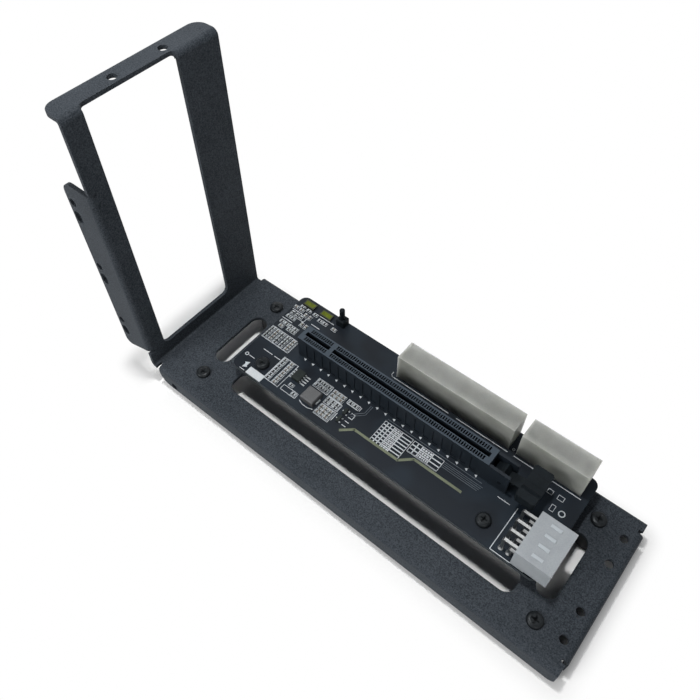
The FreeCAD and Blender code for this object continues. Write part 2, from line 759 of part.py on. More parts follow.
wing_low_x = past_slot("Sizes.wing_start")
wing_high_x = f"({wing_low_x} + Sizes.wing_length)"
lever = new_sketch(latch, "XZ", f"-{across(f'-{latch_half}')}")
outline(lever, [
    (past_slot("Sizes.pivot_reach - Sizes.pivot_dia"), above_board("Sizes.latch_foot")),
    (past_slot("Sizes.pivot_reach + Sizes.pivot_dia"), above_board("Sizes.latch_foot")),
    (f"({cradle_end} + Sizes.pivot_dia)", above_board("Sizes.latch_arm_low")),
    (wing_high_x, above_board("Sizes.wing_low")),
    (wing_high_x, above_board("Sizes.latch_arm_top")),
    (past_slot("Sizes.pivot_reach + Sizes.pivot_dia"), above_board("Sizes.latch_arm_low")),
    (past_slot("Sizes.pivot_reach"), above_board("Sizes.latch_hook_top")),
    (past_slot("Sizes.latch_hook_reach"), above_board("Sizes.latch_hook_low")),
    (past_slot("Sizes.pivot_reach - Sizes.pivot_dia"), above_board("Sizes.latch_hook_low - Sizes.pivot_dia")),
])
pad(latch, lever, f"2 * {latch_half}", reverse=True)

wing_half = "(Sizes.wing_span / 2)"
wings = new_sketch(latch, "XY", above_board("Sizes.wing_low"))
rectangle(wings, wing_low_x, across(f"-{wing_half}"), wing_high_x, across(wing_half))
pad(latch, wings, "Sizes.wing_top - Sizes.wing_low")
valley = new_sketch(latch, "YZ", wing_high_x)
outline(valley, [
    (across("-Sizes.valley_floor / 2"), above_board("Sizes.latch_arm_top")),
    (across("Sizes.valley_floor / 2"), above_board("Sizes.latch_arm_top")),
    (across("Sizes.valley_top / 2"), above_board("Sizes.wing_top")),
    (across("-Sizes.valley_top / 2"), above_board("Sizes.wing_top")),
])
pocket(latch, valley, "Sizes.wing_length")
bevel(latch, "Sizes.wing_bevel",
      dict(x=wing_low_x, y=across(f"-{wing_half}")),
      dict(x=wing_high_x, y=across(f"-{wing_half}")),
      dict(x=wing_low_x, y=across(wing_half)),
      dict(x=wing_high_x, y=across(wing_half)))

peg_end = f"({slot_half} - Sizes.pivot_gap)"
pegs = new_sketch(latch, "XZ", f"-{across(f'-{peg_end}')}")
circle(pegs, pivot_x, pivot_z, "Sizes.pivot_dia")
pad(latch, pegs, f"2 * {peg_end}", reverse=True)


# Supply headers on the rear edge: two rows of cavities that face +Y, a pin in each

def header_length(columns):
    return f"({columns} * Sizes.header_pitch - Sizes.header_pitch + 2 * Sizes.header_end)"


supply_rear = f"({board_rear} - Sizes.supply_inset)"
supply_front = f"({supply_rear} - Sizes.supply_depth)"
supply_top = f"({board_top} + Sizes.supply_height)"
supply_rows = [f"({supply_top} - Sizes.supply_row_drop)",
               f"({supply_top} - Sizes.supply_row_drop - Sizes.header_pitch)"]
cavity_half = "(Sizes.header_cavity / 2)"
pin_half = "(Sizes.pin_size / 2)"


def keyed_cavity(sketch, u, v, keyed):
    # A keyed cavity has its two upper corners cut off
    if not keyed:
        rectangle(sketch, f"{u} - {cavity_half}", f"{v} - {cavity_half}",
                  f"{u} + {cavity_half}", f"{v} + {cavity_half}")
        return
    outline(sketch, [(f"{u} - {cavity_half}", f"{v} - {cavity_half}"),
                     (f"{u} + {cavity_half}", f"{v} - {cavity_half}"),
                     (f"{u} + {cavity_half}", f"{v} + {cavity_half} - Sizes.header_key_cut"),
                     (f"{u} + {cavity_half} - Sizes.header_key_cut", f"{v} + {cavity_half}"),
                     (f"{u} - {cavity_half} + Sizes.header_key_cut", f"{v} + {cavity_half}"),
                     (f"{u} - {cavity_half}", f"{v} + {cavity_half} - Sizes.header_key_cut")])


def supply_header(name, start, columns):
    left = along(start)
    right = f"({left} + {header_length(columns)})"
    body = new_body(name + "_header")
    block = new_sketch(body, "XY", board_top)
    rectangle(block, left, supply_front, right, supply_rear)
    pad(body, block, "Sizes.supply_height")
    first_column = f"({left} + Sizes.header_end)"
    cavities = new_sketch(body, "XZ", f"-{supply_rear}")
    for keyed, height in enumerate(supply_rows):
        keyed_cavity(cavities, first_column, height, bool(keyed))
        keyed_cavity(cavities, f"({first_column} + Sizes.header_pitch)", height, not keyed)
    pair = pocket(body, cavities, "Sizes.header_cavity_depth", reverse=True)
    repeat(body, [pair], "X", "2 * Sizes.header_pitch", f"{columns} / 2")
    pins = new_body(name + "_pins")
    pin_sketch = new_sketch(pins, "XZ", f"Sizes.header_cavity_depth - {supply_rear}")
    for height in supply_rows:
        rectangle(pin_sketch, f"{first_column} - {pin_half}", f"{height} - {pin_half}",
                  f"{first_column} + {pin_half}", f"{height} + {pin_half}")
    first_pins = pad(pins, pin_sketch, "Sizes.header_cavity_depth - Sizes.pin_stop", reverse=True)
    repeat(pins, [first_pins], "X", "Sizes.header_pitch", columns)


supply_header("main_supply", "Sizes.supply_start", "Sizes.supply_columns")
supply_header("aux_supply", "Sizes.aux_start", "Sizes.aux_columns")

# Card power header: a right-angle header that faces +X, its bent pins open to view behind it

card_back = along("Sizes.card_start")
card_face = f"({card_back} + Sizes.card_depth)"
card_length = header_length("Sizes.card_columns")
card_rear = f"({board_rear} - Sizes.card_inset)"
card_front = f"({card_rear} - {card_length})"
card_base = above_board("Sizes.card_lift")
card_top = above_board("Sizes.card_height")
card_first = f"({card_rear} - Sizes.header_end)"
card_upper = f"({card_top} - Sizes.header_end)"
card_lower = f"({card_upper} - Sizes.header_pitch)"
card_rows = [(card_upper, "Sizes.card_bend_upper"), (card_lower, "Sizes.card_bend_lower")]

card_header = new_body("card_power_header")
card_block = new_sketch(card_header, "XY", card_base)
rectangle(card_block, card_back, card_front, card_face, card_rear)
pad(card_header, card_block, "Sizes.card_height - Sizes.card_lift")
posts = new_sketch(card_header, "XY", board_top)
post_depth = f"({board_right} - {card_back})"
for low, high in ((card_front, f"({card_front} + Sizes.header_end / 2)"),
                  (f"({card_rear} - Sizes.header_end / 2)", card_rear)):
    rectangle(posts, card_back, low, f"({card_back} + {post_depth} / 2)", high)
pad(card_header, posts, "Sizes.card_lift")
card_cells = new_sketch(card_header, "YZ", card_face)
for keyed, (height, bend) in enumerate(card_rows):
    keyed_cavity(card_cells, card_first, height, bool(keyed))
    keyed_cavity(card_cells, f"({card_first} - Sizes.header_pitch)", height, not keyed)
card_pair = pocket(card_header, card_cells, "Sizes.card_cavity_depth")
repeat(card_header, [card_pair], "Y", "2 * Sizes.header_pitch", "Sizes.card_columns / 2", backwards=True)
pin_ways = new_sketch(card_header, "YZ", card_face)
way_half = f"({pin_half} + Sizes.fit_gap / 2)"
for height, bend in card_rows:
    rectangle(pin_ways, f"{card_first} - {way_half}", f"{height} - {way_half}",
              f"{card_first} + {way_half}", f"{height} + {way_half}")
first_ways = pocket(card_header, pin_ways, "Sizes.card_depth")
repeat(card_header, [first_ways], "Y", "Sizes.header_pitch", "Sizes.card_columns", backwards=True)
top_ribs = new_sketch(card_header, "XY", card_top)
rib_middle = f"({card_back} + Sizes.card_depth / 2)"
rectangle(top_ribs, f"{rib_middle} - Sizes.card_rib_length / 2",
          f"{card_first} - Sizes.card_rib_width / 2",
          f"{rib_middle} + Sizes.card_rib_length / 2",
          f"{card_first} + Sizes.card_rib_width / 2")
first_rib = pad(card_header, top_ribs, "Sizes.card_rib_rise")
repeat(card_header, [first_rib], "Y", "Sizes.header_pitch", "Sizes.card_columns", backwards=True)

card_pins = new_body("card_power_pins")
for height, bend in card_rows:
    bent = new_sketch(card_pins, "XZ", f"-({card_first} - {pin_half})")
    tail = f"({card_back} - {bend})"
    outline(bent, [
        (tail, board_top),
        (f"({tail} + Sizes.pin_size)", board_top),
        (f"({tail} + Sizes.pin_size)", f"{height} - {pin_half}"),
        (f"({card_face} - Sizes.pin_stop)", f"{height} - {pin_half}"),
        (f"({card_face} - Sizes.pin_stop)", f"{height} + {pin_half}"),
        (f"({tail} + {pin_half})", f"{height} + {pin_half}"),
        (tail, height),
    ])
    first_bent = pad(card_pins, bent, "Sizes.pin_size", reverse=True)
    repeat(card_pins, [first_bent], "Y", "Sizes.header_pitch", "Sizes.card_columns", backwards=True)

# Host cable socket under the board: a folded shell round a contact tongue, its mouth to the rear

socket_left = along("Sizes.socket_start")
socket_right = f"({socket_left} + Sizes.socket_width)"
socket_low = f"({board_under} - Sizes.socket_height)"
shell = new_body("host_socket_shell")
shell_sketch = new_sketch(shell, "XZ", f"-{board_rear}")
rectangle(shell_sketch, socket_left, socket_low, socket_right, board_under)
rectangle(shell_sketch, f"{socket_left} + Sizes.socket_wall", f"{socket_low} + Sizes.socket_wall",
          f"{socket_right} - Sizes.socket_wall", f"{board_under} - Sizes.socket_wall")
pad(shell, shell_sketch, "Sizes.socket_depth")

tongue = new_body("host_socket_tongue")
tongue_back = f"({board_rear} - Sizes.socket_depth)"
tongue_block = new_sketch(tongue, "XZ", f"-{tongue_back}")
rectangle(tongue_block, f"{socket_left} + Sizes.socket_wall", f"{socket_low} + Sizes.socket_wall",
          f"{socket_right} - Sizes.socket_wall", f"{board_under} - Sizes.socket_wall")
pad(tongue, tongue_block, "Sizes.tongue_block", reverse=True)
socket_middle = f"(({socket_left} + {socket_right}) / 2)"
socket_level = f"(({socket_low} + {board_under}) / 2)"
blade = new_sketch(tongue, "XZ", f"-({tongue_back} + Sizes.tongue_block)")
rectangle(blade, f"{socket_middle} - Sizes.tongue_width / 2", f"{socket_level} - Sizes.tongue_thickness / 2",
          f"{socket_middle} + Sizes.tongue_width / 2", f"{socket_level} + Sizes.tongue_thickness / 2")
pad(tongue, blade, "Sizes.tongue_reach", reverse=True)

# Push button: a square body with a round plunger that is pressed down

button_x = along("Sizes.button_start")
button_line = f"({board_rear} - Sizes.button_inset)"
button_half = "(Sizes.button_size / 2)"
button_body = new_body("button_body")
button_sketch = new_sketch(button_body, "XY", board_top)
rectangle(button_sketch, f"{button_x} - {button_half}", f"{button_line} - {button_half}",
          f"{button_x} + {button_half}", f"{button_line} + {button_half}")
pad(button_body, button_sketch, "Sizes.button_body")
bevel(button_body, "Sizes.button_corner", dict(z=above_board("Sizes.button_body")))
well = new_sketch(button_body, "XY", above_board("Sizes.button_body"))
circle(well, button_x, button_line, "Sizes.plunger_dia + 2 * Sizes.plunger_gap")
pocket(button_body, well, "Sizes.plunger_bury + Sizes.plunger_travel + Sizes.plunger_gap")

plunger = new_body("button_plunger")
plunger_sketch = new_sketch(plunger, "XY", above_board("(Sizes.button_body - Sizes.plunger_bury)"))
circle(plunger_sketch, button_x, button_line, "Sizes.plunger_dia")
pad(plunger, plunger_sketch, "Sizes.plunger_top - Sizes.button_body + Sizes.plunger_bury")
bevel(plunger, "Sizes.plunger_bevel", dict(z=above_board("Sizes.plunger_top")))

# Two indicator lamps: white frames with a cast fill

lamp_x = along("Sizes.lamp_start")
lamp_line = f"({board_rear} - Sizes.lamp_inset)"


def lamp_window(sketch, inset):
    half_length = f"(Sizes.lamp_length / 2 - {inset})"
    half_depth = f"(Sizes.lamp_width / 2 - {inset})"
    rectangle(sketch, f"{lamp_x} - {half_length}", f"{lamp_line} - {half_depth}",
              f"{lamp_x} + {half_length}", f"{lamp_line} + {half_depth}")


lamp_frames = new_body("lamp_frames")
frame_sketch = new_sketch(lamp_frames, "XY", board_top)
lamp_window(frame_sketch, "0")
frame_pad = pad(lamp_frames, frame_sketch, "Sizes.lamp_height")
recess_sketch = new_sketch(lamp_frames, "XY", above_board("Sizes.lamp_height"))
lamp_window(recess_sketch, "Sizes.lamp_rim")
frame_cut = pocket(lamp_frames, recess_sketch, "Sizes.lamp_fill_depth")
repeat(lamp_frames, [frame_pad, frame_cut], "X", "Sizes.lamp_pitch", "2")

lamp_fills = new_body("lamp_fills")
fill_sketch = new_sketch(lamp_fills, "XY", above_board("(Sizes.lamp_height - Sizes.lamp_fill_depth)"))
lamp_window(fill_sketch, "Sizes.lamp_rim")
fill_pad = pad(lamp_fills, fill_sketch, "Sizes.lamp_fill_depth")
repeat(lamp_fills, [fill_pad], "X", "Sizes.lamp_pitch", "2")

# Choke with its two feet, and the regulator chip with gull-wing leads

choke_x = along("Sizes.choke_start")
choke_line = f"({board_rear} - Sizes.choke_inset)"
choke_half = "(Sizes.choke_size / 2)"
choke = new_body("power_choke")
choke_sketch = new_sketch(choke, "XY", board_top)
rectangle(choke_sketch, f"{choke_x} - {choke_half}", f"{choke_line} - {choke_half}",
          f"{choke_x} + {choke_half}", f"{choke_line} + {choke_half}")
pad(choke, choke_sketch, "Sizes.choke_height")
bevel(choke, "Sizes.choke_bevel", dict(z=above_board("Sizes.choke_height")))

choke_feet = new_body("choke_feet")
feet_sketch = new_sketch(choke_feet, "XY", board_top)
foot_half = "(Sizes.choke_foot_width / 2)"
rectangle(feet_sketch, f"{choke_x} - {choke_half} - Sizes.choke_foot", f"{choke_line} - {foot_half}",
          f"{choke_x} - {choke_half}", f"{choke_line} + {foot_half}")
rectangle(feet_sketch, f"{choke_x} + {choke_half}", f"{choke_line} - {foot_half}",
          f"{choke_x} + {choke_half} + Sizes.choke_foot", f"{choke_line} + {foot_half}")
pad(choke_feet, feet_sketch, "Sizes.choke_foot")

chip_x = along("Sizes.chip_start")
chip_line = f"({board_rear} - Sizes.chip_inset)"
chip_half = "(Sizes.chip_width / 2)"
chip = new_body("regulator_chip")
chip_sketch = new_sketch(chip, "XY", above_board("Sizes.chip_lift"))
rectangle(chip_sketch, f"{chip_x} - {chip_half}", f"{chip_line} - Sizes.chip_length / 2",
          f"{chip_x} + {chip_half}", f"{chip_line} + Sizes.chip_length / 2")
pad(chip, chip_sketch, "Sizes.chip_height")

leads = new_body("chip_leads")
lead_first = f"({chip_line} - 1.5 * Sizes.lead_pitch - Sizes.lead_width / 2)"
lead_level = above_board("(Sizes.chip_lift + Sizes.chip_height / 2)")
lead_sketch = new_sketch(leads, "XZ", f"-{lead_first}")
for sign in ("1", "-1"):
    def reach(distance):
        return f"({chip_x} + {sign} * ({chip_half} + {distance}))"
    outline(lead_sketch, [
        (reach("0"), lead_level),
        (reach("Sizes.lead_reach - Sizes.lead_foot"), lead_level),
        (reach("Sizes.lead_reach - Sizes.lead_foot + Sizes.lead_thickness"),
         above_board("Sizes.lead_thickness")),
        (reach("Sizes.lead_reach"), above_board("Sizes.lead_thickness")),
        (reach("Sizes.lead_reach"), board_top),
        (reach("Sizes.lead_reach - Sizes.lead_foot"), board_top),
        (reach("Sizes.lead_reach - Sizes.lead_foot - Sizes.lead_thickness"),
         f"({lead_level} - Sizes.lead_thickness)"),
        (reach("0"), f"({lead_level} - Sizes.lead_thickness)"),
    ])
first_leads = pad(leads, lead_sketch, "Sizes.lead_width", reverse=True)
repeat(leads, [first_leads], "Y", "Sizes.lead_pitch", "4")


# Every object must have come out whole before anything is written

doc.recompute()
for item in doc.Objects:
    if "Invalid" in item.State or "Error" in item.State:
        raise ValueError("%s failed: %s" % (item.Label, item.State))
for piece in pieces:
    if piece.Shape.isNull() or not piece.Shape.isValid() or not piece.Shape.Solids:
        raise ValueError("%s has no sound shape" % piece.Label)

os.makedirs("parts", exist_ok=True)
for piece in pieces:
    piece.Shape.exportStep("parts/%s.step" % piece.Label)
    print(piece.Label, len(piece.Shape.Solids), round(piece.Shape.Volume, 2))
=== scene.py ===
import bmesh
import bpy
import math
import random
from mathutils import Matrix, Vector


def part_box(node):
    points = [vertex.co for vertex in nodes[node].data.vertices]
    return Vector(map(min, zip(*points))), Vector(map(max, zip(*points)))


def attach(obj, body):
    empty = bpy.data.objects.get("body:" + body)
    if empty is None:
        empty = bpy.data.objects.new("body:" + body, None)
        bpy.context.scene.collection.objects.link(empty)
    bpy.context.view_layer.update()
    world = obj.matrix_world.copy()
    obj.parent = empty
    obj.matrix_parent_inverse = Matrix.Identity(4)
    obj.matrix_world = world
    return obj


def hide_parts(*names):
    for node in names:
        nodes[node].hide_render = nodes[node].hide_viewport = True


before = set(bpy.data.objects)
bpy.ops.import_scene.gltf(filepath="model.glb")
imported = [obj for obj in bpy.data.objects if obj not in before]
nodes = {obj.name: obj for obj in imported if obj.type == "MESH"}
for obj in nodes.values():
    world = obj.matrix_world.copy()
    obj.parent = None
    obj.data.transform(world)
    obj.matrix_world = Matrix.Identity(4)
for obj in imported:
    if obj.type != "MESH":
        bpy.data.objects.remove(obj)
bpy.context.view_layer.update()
scene = bpy.context.scene
scene.view_settings.view_transform = "Standard"
mm = 0.001

# Places on the board are in millimetres from the closed end of the card slot, on its middle line
slotLow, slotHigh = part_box("slot_housing")
boardLow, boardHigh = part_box("board")
slotStart = (slotLow.x, (slotLow.y + slotHigh.y) / 2, boardHigh.z)
boardPlace = Matrix.Translation(slotStart) @ Matrix.Scale(mm, 4)
print("frame loaded:", len(nodes), "nodes")


# Materials start from these few helpers

def srgb(hexText):
    parts = [int(hexText[i:i + 2], 16) / 255 for i in (1, 3, 5)]
    return [c / 12.92 if c <= 0.04045 else ((c + 0.055) / 1.055) ** 2.4 for c in parts] + [1.0]


def addNode(tree, kind, settings=None, links=None):
    node = tree.nodes.new(kind)
    for key, setting in (settings or {}).items():
        if key == "stops":
            for end, (position, colour) in zip(node.color_ramp.elements, setting):
                end.position, end.color = position, srgb(colour)
        elif isinstance(key, int) or key in node.inputs:
            node.inputs[key].default_value = setting
        else:
            setattr(node, key, setting)
    for key, source in (links or {}).items():
        tree.links.new(source, node.inputs[key])
    return node


def startMaterial(name):
    material = bpy.data.materials.new(name)
    material.use_nodes = True
    tree = material.node_tree
    place = addNode(tree, "ShaderNodeTexCoord").outputs["Object"]
    return material, tree, tree.nodes["Principled BSDF"], place


# One surface with a grain: colour, gloss and relief all follow the same pattern of a real size
def grainMaterial(spec):
    material, tree, shader, place = startMaterial(spec["name"])
    grain = addNode(tree, "ShaderNodeTexNoise", {"Scale": 1 / (spec["grainMm"] * mm), "Detail": 3.0},
                    {"Vector": place})
    cloud = addNode(tree, "ShaderNodeTexNoise", {"Scale": 1 / (spec["cloudMm"] * mm), "Detail": 2.0},
                    {"Vector": place})
    both = addNode(tree, "ShaderNodeMix", {"Factor": spec["cloudShare"]},
                   {"A": grain.outputs["Fac"], "B": cloud.outputs["Fac"]})
    low, high = spec.get("spread", (0.3, 0.7))
    tint = addNode(tree, "ShaderNodeValToRGB", {"stops": ((low, spec["dark"]), (high, spec["light"]))},
                   {"Fac": both.outputs["Result"]})
    gloss = addNode(tree, "ShaderNodeMapRange", {"To Min": spec["roughLow"], "To Max": spec["roughHigh"]},
                    {"Value": grain.outputs["Fac"]})
    relief = addNode(tree, "ShaderNodeBump",
                     {"Strength": spec["relief"], "Distance": spec["reliefMm"] * mm},
                     {"Height": grain.outputs["Fac"]})
    colour = tint.outputs["Color"]
    # Optional painted highlight: faces above a given height are painted a lighter colour, standing in for
    # the light that falls on the top
    if "paintedTopHighlight" in spec:
        height = addNode(tree, "ShaderNodeSeparateXYZ", None, {"Vector": place})
        raised = addNode(tree, "ShaderNodeMath", {"operation": "GREATER_THAN", 1: spec["highlightFrom"]},
                         {0: height.outputs["Z"]})
        highlightMix = addNode(tree, "ShaderNodeMix", {"data_type": "RGBA", 7: srgb(spec["paintedTopHighlight"])},
                      {0: raised.outputs[0], 6: colour})
        colour = highlightMix.outputs[2]
    tree.links.new(colour, shader.inputs["Base Color"])
    tree.links.new(gloss.outputs["Result"], shader.inputs["Roughness"])
    tree.links.new(relief.outputs["Normal"], shader.inputs["Normal"])
    for socket, setting in spec.get("shader", {}).items():
        shader.inputs[socket].default_value = setting
    return material


# Powder-coated steel: a fine orange-peel texture that scatters the light into small specks,
# drawn about twice as coarse as it is, so that it shows at this distance
powderCoat = grainMaterial(dict(
    name="powder_coated_steel", dark="#252a2f", light="#494e54", grainMm=0.45, cloudMm=18.0,
    cloudShare=0.15, spread=(0.33, 0.7), roughLow=0.45, roughHigh=0.65, relief=0.8, reliefMm=0.07,
    shader={"IOR": 1.5, "Specular IOR Level": 0.04}))

# Glass-filled black nylon of the card slot: satin, with a faint flow mottle; its top faces carry a painted
# highlight, a lighter colour standing in for the light they catch
slotNylon = grainMaterial(dict(
    name="moulded_black_nylon", dark="#12161b", light="#20272e", paintedTopHighlight="#3b444d",
    highlightFrom=slotHigh.z - 0.12 * mm, grainMm=0.35, cloudMm=6.0, cloudShare=0.4, roughLow=0.4,
    roughHigh=0.55, relief=0.15, reliefMm=0.02,
    shader={"IOR": 1.53, "Specular IOR Level": 0.12}))

# The latch, button and plunger are a deeper, newer black
deepNylon = grainMaterial(dict(
    name="moulded_deep_black_nylon", dark="#0b0f12", light="#171d21", grainMm=0.35, cloudMm=5.0,
    cloudShare=0.4, roughLow=0.5, roughHigh=0.62, relief=0.15, reliefMm=0.02,
    shader={"IOR": 1.53, "Specular IOR Level": 0.07}))

# Natural nylon of the power headers: milky, lets a little light in, smooth from the mould
naturalNylon = grainMaterial(dict(
    name="moulded_natural_nylon", dark="#888a83", light="#9d9f98", grainMm=0.5, cloudMm=9.0,
    cloudShare=0.75, roughLow=0.42, roughHigh=0.55, relief=0.08, reliefMm=0.02,
    shader={"IOR": 1.53, "Specular IOR Level": 0.3, "Subsurface Weight": 1.0, "Subsurface Scale": 0.014,
            "Subsurface Radius": (1.0, 1.0, 0.95)}))

# White-dyed nylon of the card power header: cooler and denser than the natural one; the tops of its low ribs
# carry a painted highlight, a paler colour standing in for the light they catch
whiteNylon = grainMaterial(dict(
    name="moulded_white_nylon", dark="#8f9498", light="#a2a7ab", paintedTopHighlight="#b0b7bc",
    highlightFrom=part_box("card_power_header")[1].z - 0.2 * mm, grainMm=0.5, cloudMm=7.0,
    cloudShare=0.6, roughLow=0.34, roughHigh=0.46, relief=0.08, reliefMm=0.02,
    shader={"IOR": 1.53, "Specular IOR Level": 0.3, "Subsurface Weight": 0.2, "Subsurface Scale": 0.004,
            "Subsurface Radius": (0.95, 0.98, 1.0)}))

# Bright tin plate on copper-alloy pins and part ends: mirror-like with a soft haze
tinPlate = grainMaterial(dict(
    name="bright_tin_plate", dark="#8f9192", light="#b4b6b6", grainMm=0.6, cloudMm=2.5,
    cloudShare=0.5, roughLow=0.24, roughHigh=0.38, relief=0.06, reliefMm=0.02, shader={"Metallic": 1.0}))

# Reflowed solder over terminals and leads: pale grey, softly lumpy, half dulled by flux
reflowedSolder = grainMaterial(dict(
    name="reflowed_solder", dark="#858b8e", light="#b9bec0", grainMm=0.3, cloudMm=1.5,
    cloudShare=0.4, roughLow=0.3, roughHigh=0.45, relief=0.2, reliefMm=0.03, shader={"Metallic": 0.3}))

# Thin gold on spring contacts: warm and smooth, dull where the plate is thin
goldPlate = grainMaterial(dict(
    name="gold_plated_contact", dark="#a8884a", light="#cdb06a", grainMm=0.25, cloudMm=1.5,
    cloudShare=0.3, roughLow=0.22, roughHigh=0.4, relief=0.08, reliefMm=0.02, shader={"Metallic": 1.0}))

# Turned brass standoffs: fine feed marks blur the highlight
turnedBrass = grainMaterial(dict(
    name="turned_brass", dark="#9a7f45", light="#bda266", grainMm=0.2, cloudMm=3.0,
    cloudShare=0.3, roughLow=0.25, roughHigh=0.4, relief=0.1, reliefMm=0.02, shader={"Metallic": 1.0}))

# Black oxide on machine screws: dark, slightly oily metal
blackOxide = grainMaterial(dict(
    name="black_oxide_steel", dark="#101315", light="#202427", grainMm=0.3, cloudMm=2.0,
    cloudShare=0.3, roughLow=0.3, roughHigh=0.42, relief=0.12, reliefMm=0.02,
    shader={"Metallic": 0.2, "Specular IOR Level": 0.15}))

# Moulded rubber feet: matt, with a dusty bloom
footRubber = grainMaterial(dict(
    name="moulded_rubber", dark="#121314", light="#242628", grainMm=0.4, cloudMm=5.0,
    cloudShare=0.4, roughLow=0.7, roughHigh=0.85, relief=0.25, reliefMm=0.04, shader={"IOR": 1.52}))

# Folded stainless sheet of the cable socket
stainlessSheet = grainMaterial(dict(
    name="folded_stainless_sheet", dark="#9b9d9f", light="#b9bbbd", grainMm=0.15, cloudMm=4.0,
    cloudShare=0.3, roughLow=0.25, roughHigh=0.38, relief=0.1, reliefMm=0.01, shader={"Metallic": 1.0}))

# Pressed iron powder of the choke: warm grey, granular
ironPowder = grainMaterial(dict(
    name="pressed_iron_powder", dark="#3b3c3e", light="#535455", grainMm=0.3, cloudMm=3.0,
    cloudShare=0.35, roughLow=0.45, roughHigh=0.6, relief=0.3, reliefMm=0.03, shader={"Metallic": 0.3}))

# Transfer-moulded epoxy of chips: matt black with a fine spark-eroded texture
chipEpoxy = grainMaterial(dict(
    name="moulded_epoxy", dark="#15191a", light="#2a302e", grainMm=0.2, cloudMm=2.0,
    cloudShare=0.3, roughLow=0.5, roughHigh=0.65, relief=0.2, reliefMm=0.02,
    shader={"IOR": 1.55, "Specular IOR Level": 0.1}))

# Fired ceramic of small capacitors and the dark glaze of resistors
firedCeramic = grainMaterial(dict(
    name="fired_ceramic", dark="#4a443c", light="#625a4e", grainMm=0.2, cloudMm=1.0,
    cloudShare=0.3, roughLow=0.4, roughHigh=0.55, relief=0.1, reliefMm=0.01, shader={"IOR": 1.6}))
resistorGlaze = grainMaterial(dict(
    name="resistor_glaze", dark="#0f1113", light="#1e2124", grainMm=0.2, cloudMm=1.0,
    cloudShare=0.3, roughLow=0.2, roughHigh=0.3, relief=0.05, reliefMm=0.01, shader={"IOR": 1.52}))

# Tinted lamp bodies, dull olive, and the yellow phosphor cast into them
lampReflector = grainMaterial(dict(
    name="tinted_lamp_plastic", dark="#26281a", light="#3f4230", grainMm=0.3, cloudMm=1.5,
    cloudShare=0.3, roughLow=0.4, roughHigh=0.5, relief=0.08, reliefMm=0.01,
    shader={"IOR": 1.5, "Specular IOR Level": 0.15}))
phosphorResin = grainMaterial(dict(
    name="phosphor_in_resin", dark="#3f4802", light="#6a7707", grainMm=0.25, cloudMm=1.2,
    cloudShare=0.4, roughLow=0.15, roughHigh=0.25, relief=0.08, reliefMm=0.01,
    shader={"IOR": 1.53, "Specular IOR Level": 0.15}))

# White epoxy ink, screen printed: chalky, thin at its edges
printInk = grainMaterial(dict(
    name="screen_printed_ink", dark="#a3aab0", light="#d2d7da", grainMm=0.25, cloudMm=1.5,
    cloudShare=0.3, roughLow=0.5, roughHigh=0.65, relief=0.15, reliefMm=0.01, shader={"IOR": 1.5}))
labelPaper = grainMaterial(dict(
    name="matt_label_paper", dark="#b4babd", light="#cdd2d4", grainMm=0.3, cloudMm=3.0,
    cloudShare=0.4, roughLow=0.6, roughHigh=0.7, relief=0.1, reliefMm=0.01, shader={"IOR": 1.5}))

# Copper left bare of solder mask and plated pale: a soft green-gold line
bareStrip = grainMaterial(dict(
    name="plated_bare_copper", dark="#474d3a", light="#626952", grainMm=0.3, cloudMm=4.0,
    cloudShare=0.4, roughLow=0.35, roughHigh=0.5, relief=0.1, reliefMm=0.01, shader={"Metallic": 0.2}))

# Solder mask over copper: the same black lacquer, a little lighter and raised over each trace
maskedCopper = grainMaterial(dict(
    name="masked_copper", dark="#333b43", light="#454e57", grainMm=0.4, cloudMm=5.0,
    cloudShare=0.4, roughLow=0.28, roughHigh=0.4, relief=0.08, reliefMm=0.01, shader={"IOR": 1.55}))


# Black solder mask on a glass laminate: satin lacquer on both sides, pale fibre on the cut edge
def solderMaskMaterial(spec):
    material, tree, shader, place = startMaterial("solder_mask_on_laminate")
    grain = addNode(tree, "ShaderNodeTexNoise", {"Scale": 1 / (spec["grainMm"] * mm), "Detail": 2.0},
                    {"Vector": place})
    pour = addNode(tree, "ShaderNodeTexNoise", {"Scale": 1 / (spec["pourMm"] * mm), "Detail": 1.0},
                   {"Vector": place})
    low, high = spec["pourSpread"]
    lacquer = addNode(tree, "ShaderNodeValToRGB", {"stops": ((low, spec["dark"]), (high, spec["light"]))},
                      {"Fac": pour.outputs["Fac"]})
    low, high = spec["edgeSpread"]
    fibre = addNode(tree, "ShaderNodeValToRGB",
                    {"stops": ((low, spec["edgeDark"]), (high, spec["edgeLight"]))},
                    {"Fac": grain.outputs["Fac"]})
    facing = addNode(tree, "ShaderNodeSeparateXYZ", None,
                     {"Vector": addNode(tree, "ShaderNodeNewGeometry").outputs["Normal"]})
    upright = addNode(tree, "ShaderNodeMath", {"operation": "ABSOLUTE"}, {0: facing.outputs["Z"]})
    flat = addNode(tree, "ShaderNodeMath", {"operation": "GREATER_THAN", 1: spec["flatFrom"]},
                   {0: upright.outputs[0]})
    colour = addNode(tree, "ShaderNodeMix", {"data_type": "RGBA"}, {"Factor": flat.outputs[0]})
    tree.links.new(fibre.outputs["Color"], colour.inputs[6])
    tree.links.new(lacquer.outputs["Color"], colour.inputs[7])
    relief = addNode(tree, "ShaderNodeBump",
                     {"Strength": spec["relief"], "Distance": spec["reliefMm"] * mm},
                     {"Height": grain.outputs["Fac"]})
    tree.links.new(colour.outputs[2], shader.inputs["Base Color"])
    tree.links.new(relief.outputs["Normal"], shader.inputs["Normal"])
    for socket, setting in spec["shader"].items():
        shader.inputs[socket].default_value = setting
    return material


solderMask = solderMaskMaterial(dict(
    grainMm=0.4, pourMm=14.0, pourSpread=(0.42, 0.58), dark="#151b22", light="#1b232b",
    edgeSpread=(0.3, 0.7), edgeDark="#2b3033", edgeLight="#454b4d", flatFrom=0.5, relief=0.12, reliefMm=0.02,
    shader={"Roughness": 0.5, "IOR": 1.55, "Specular IOR Level": 0.1}))

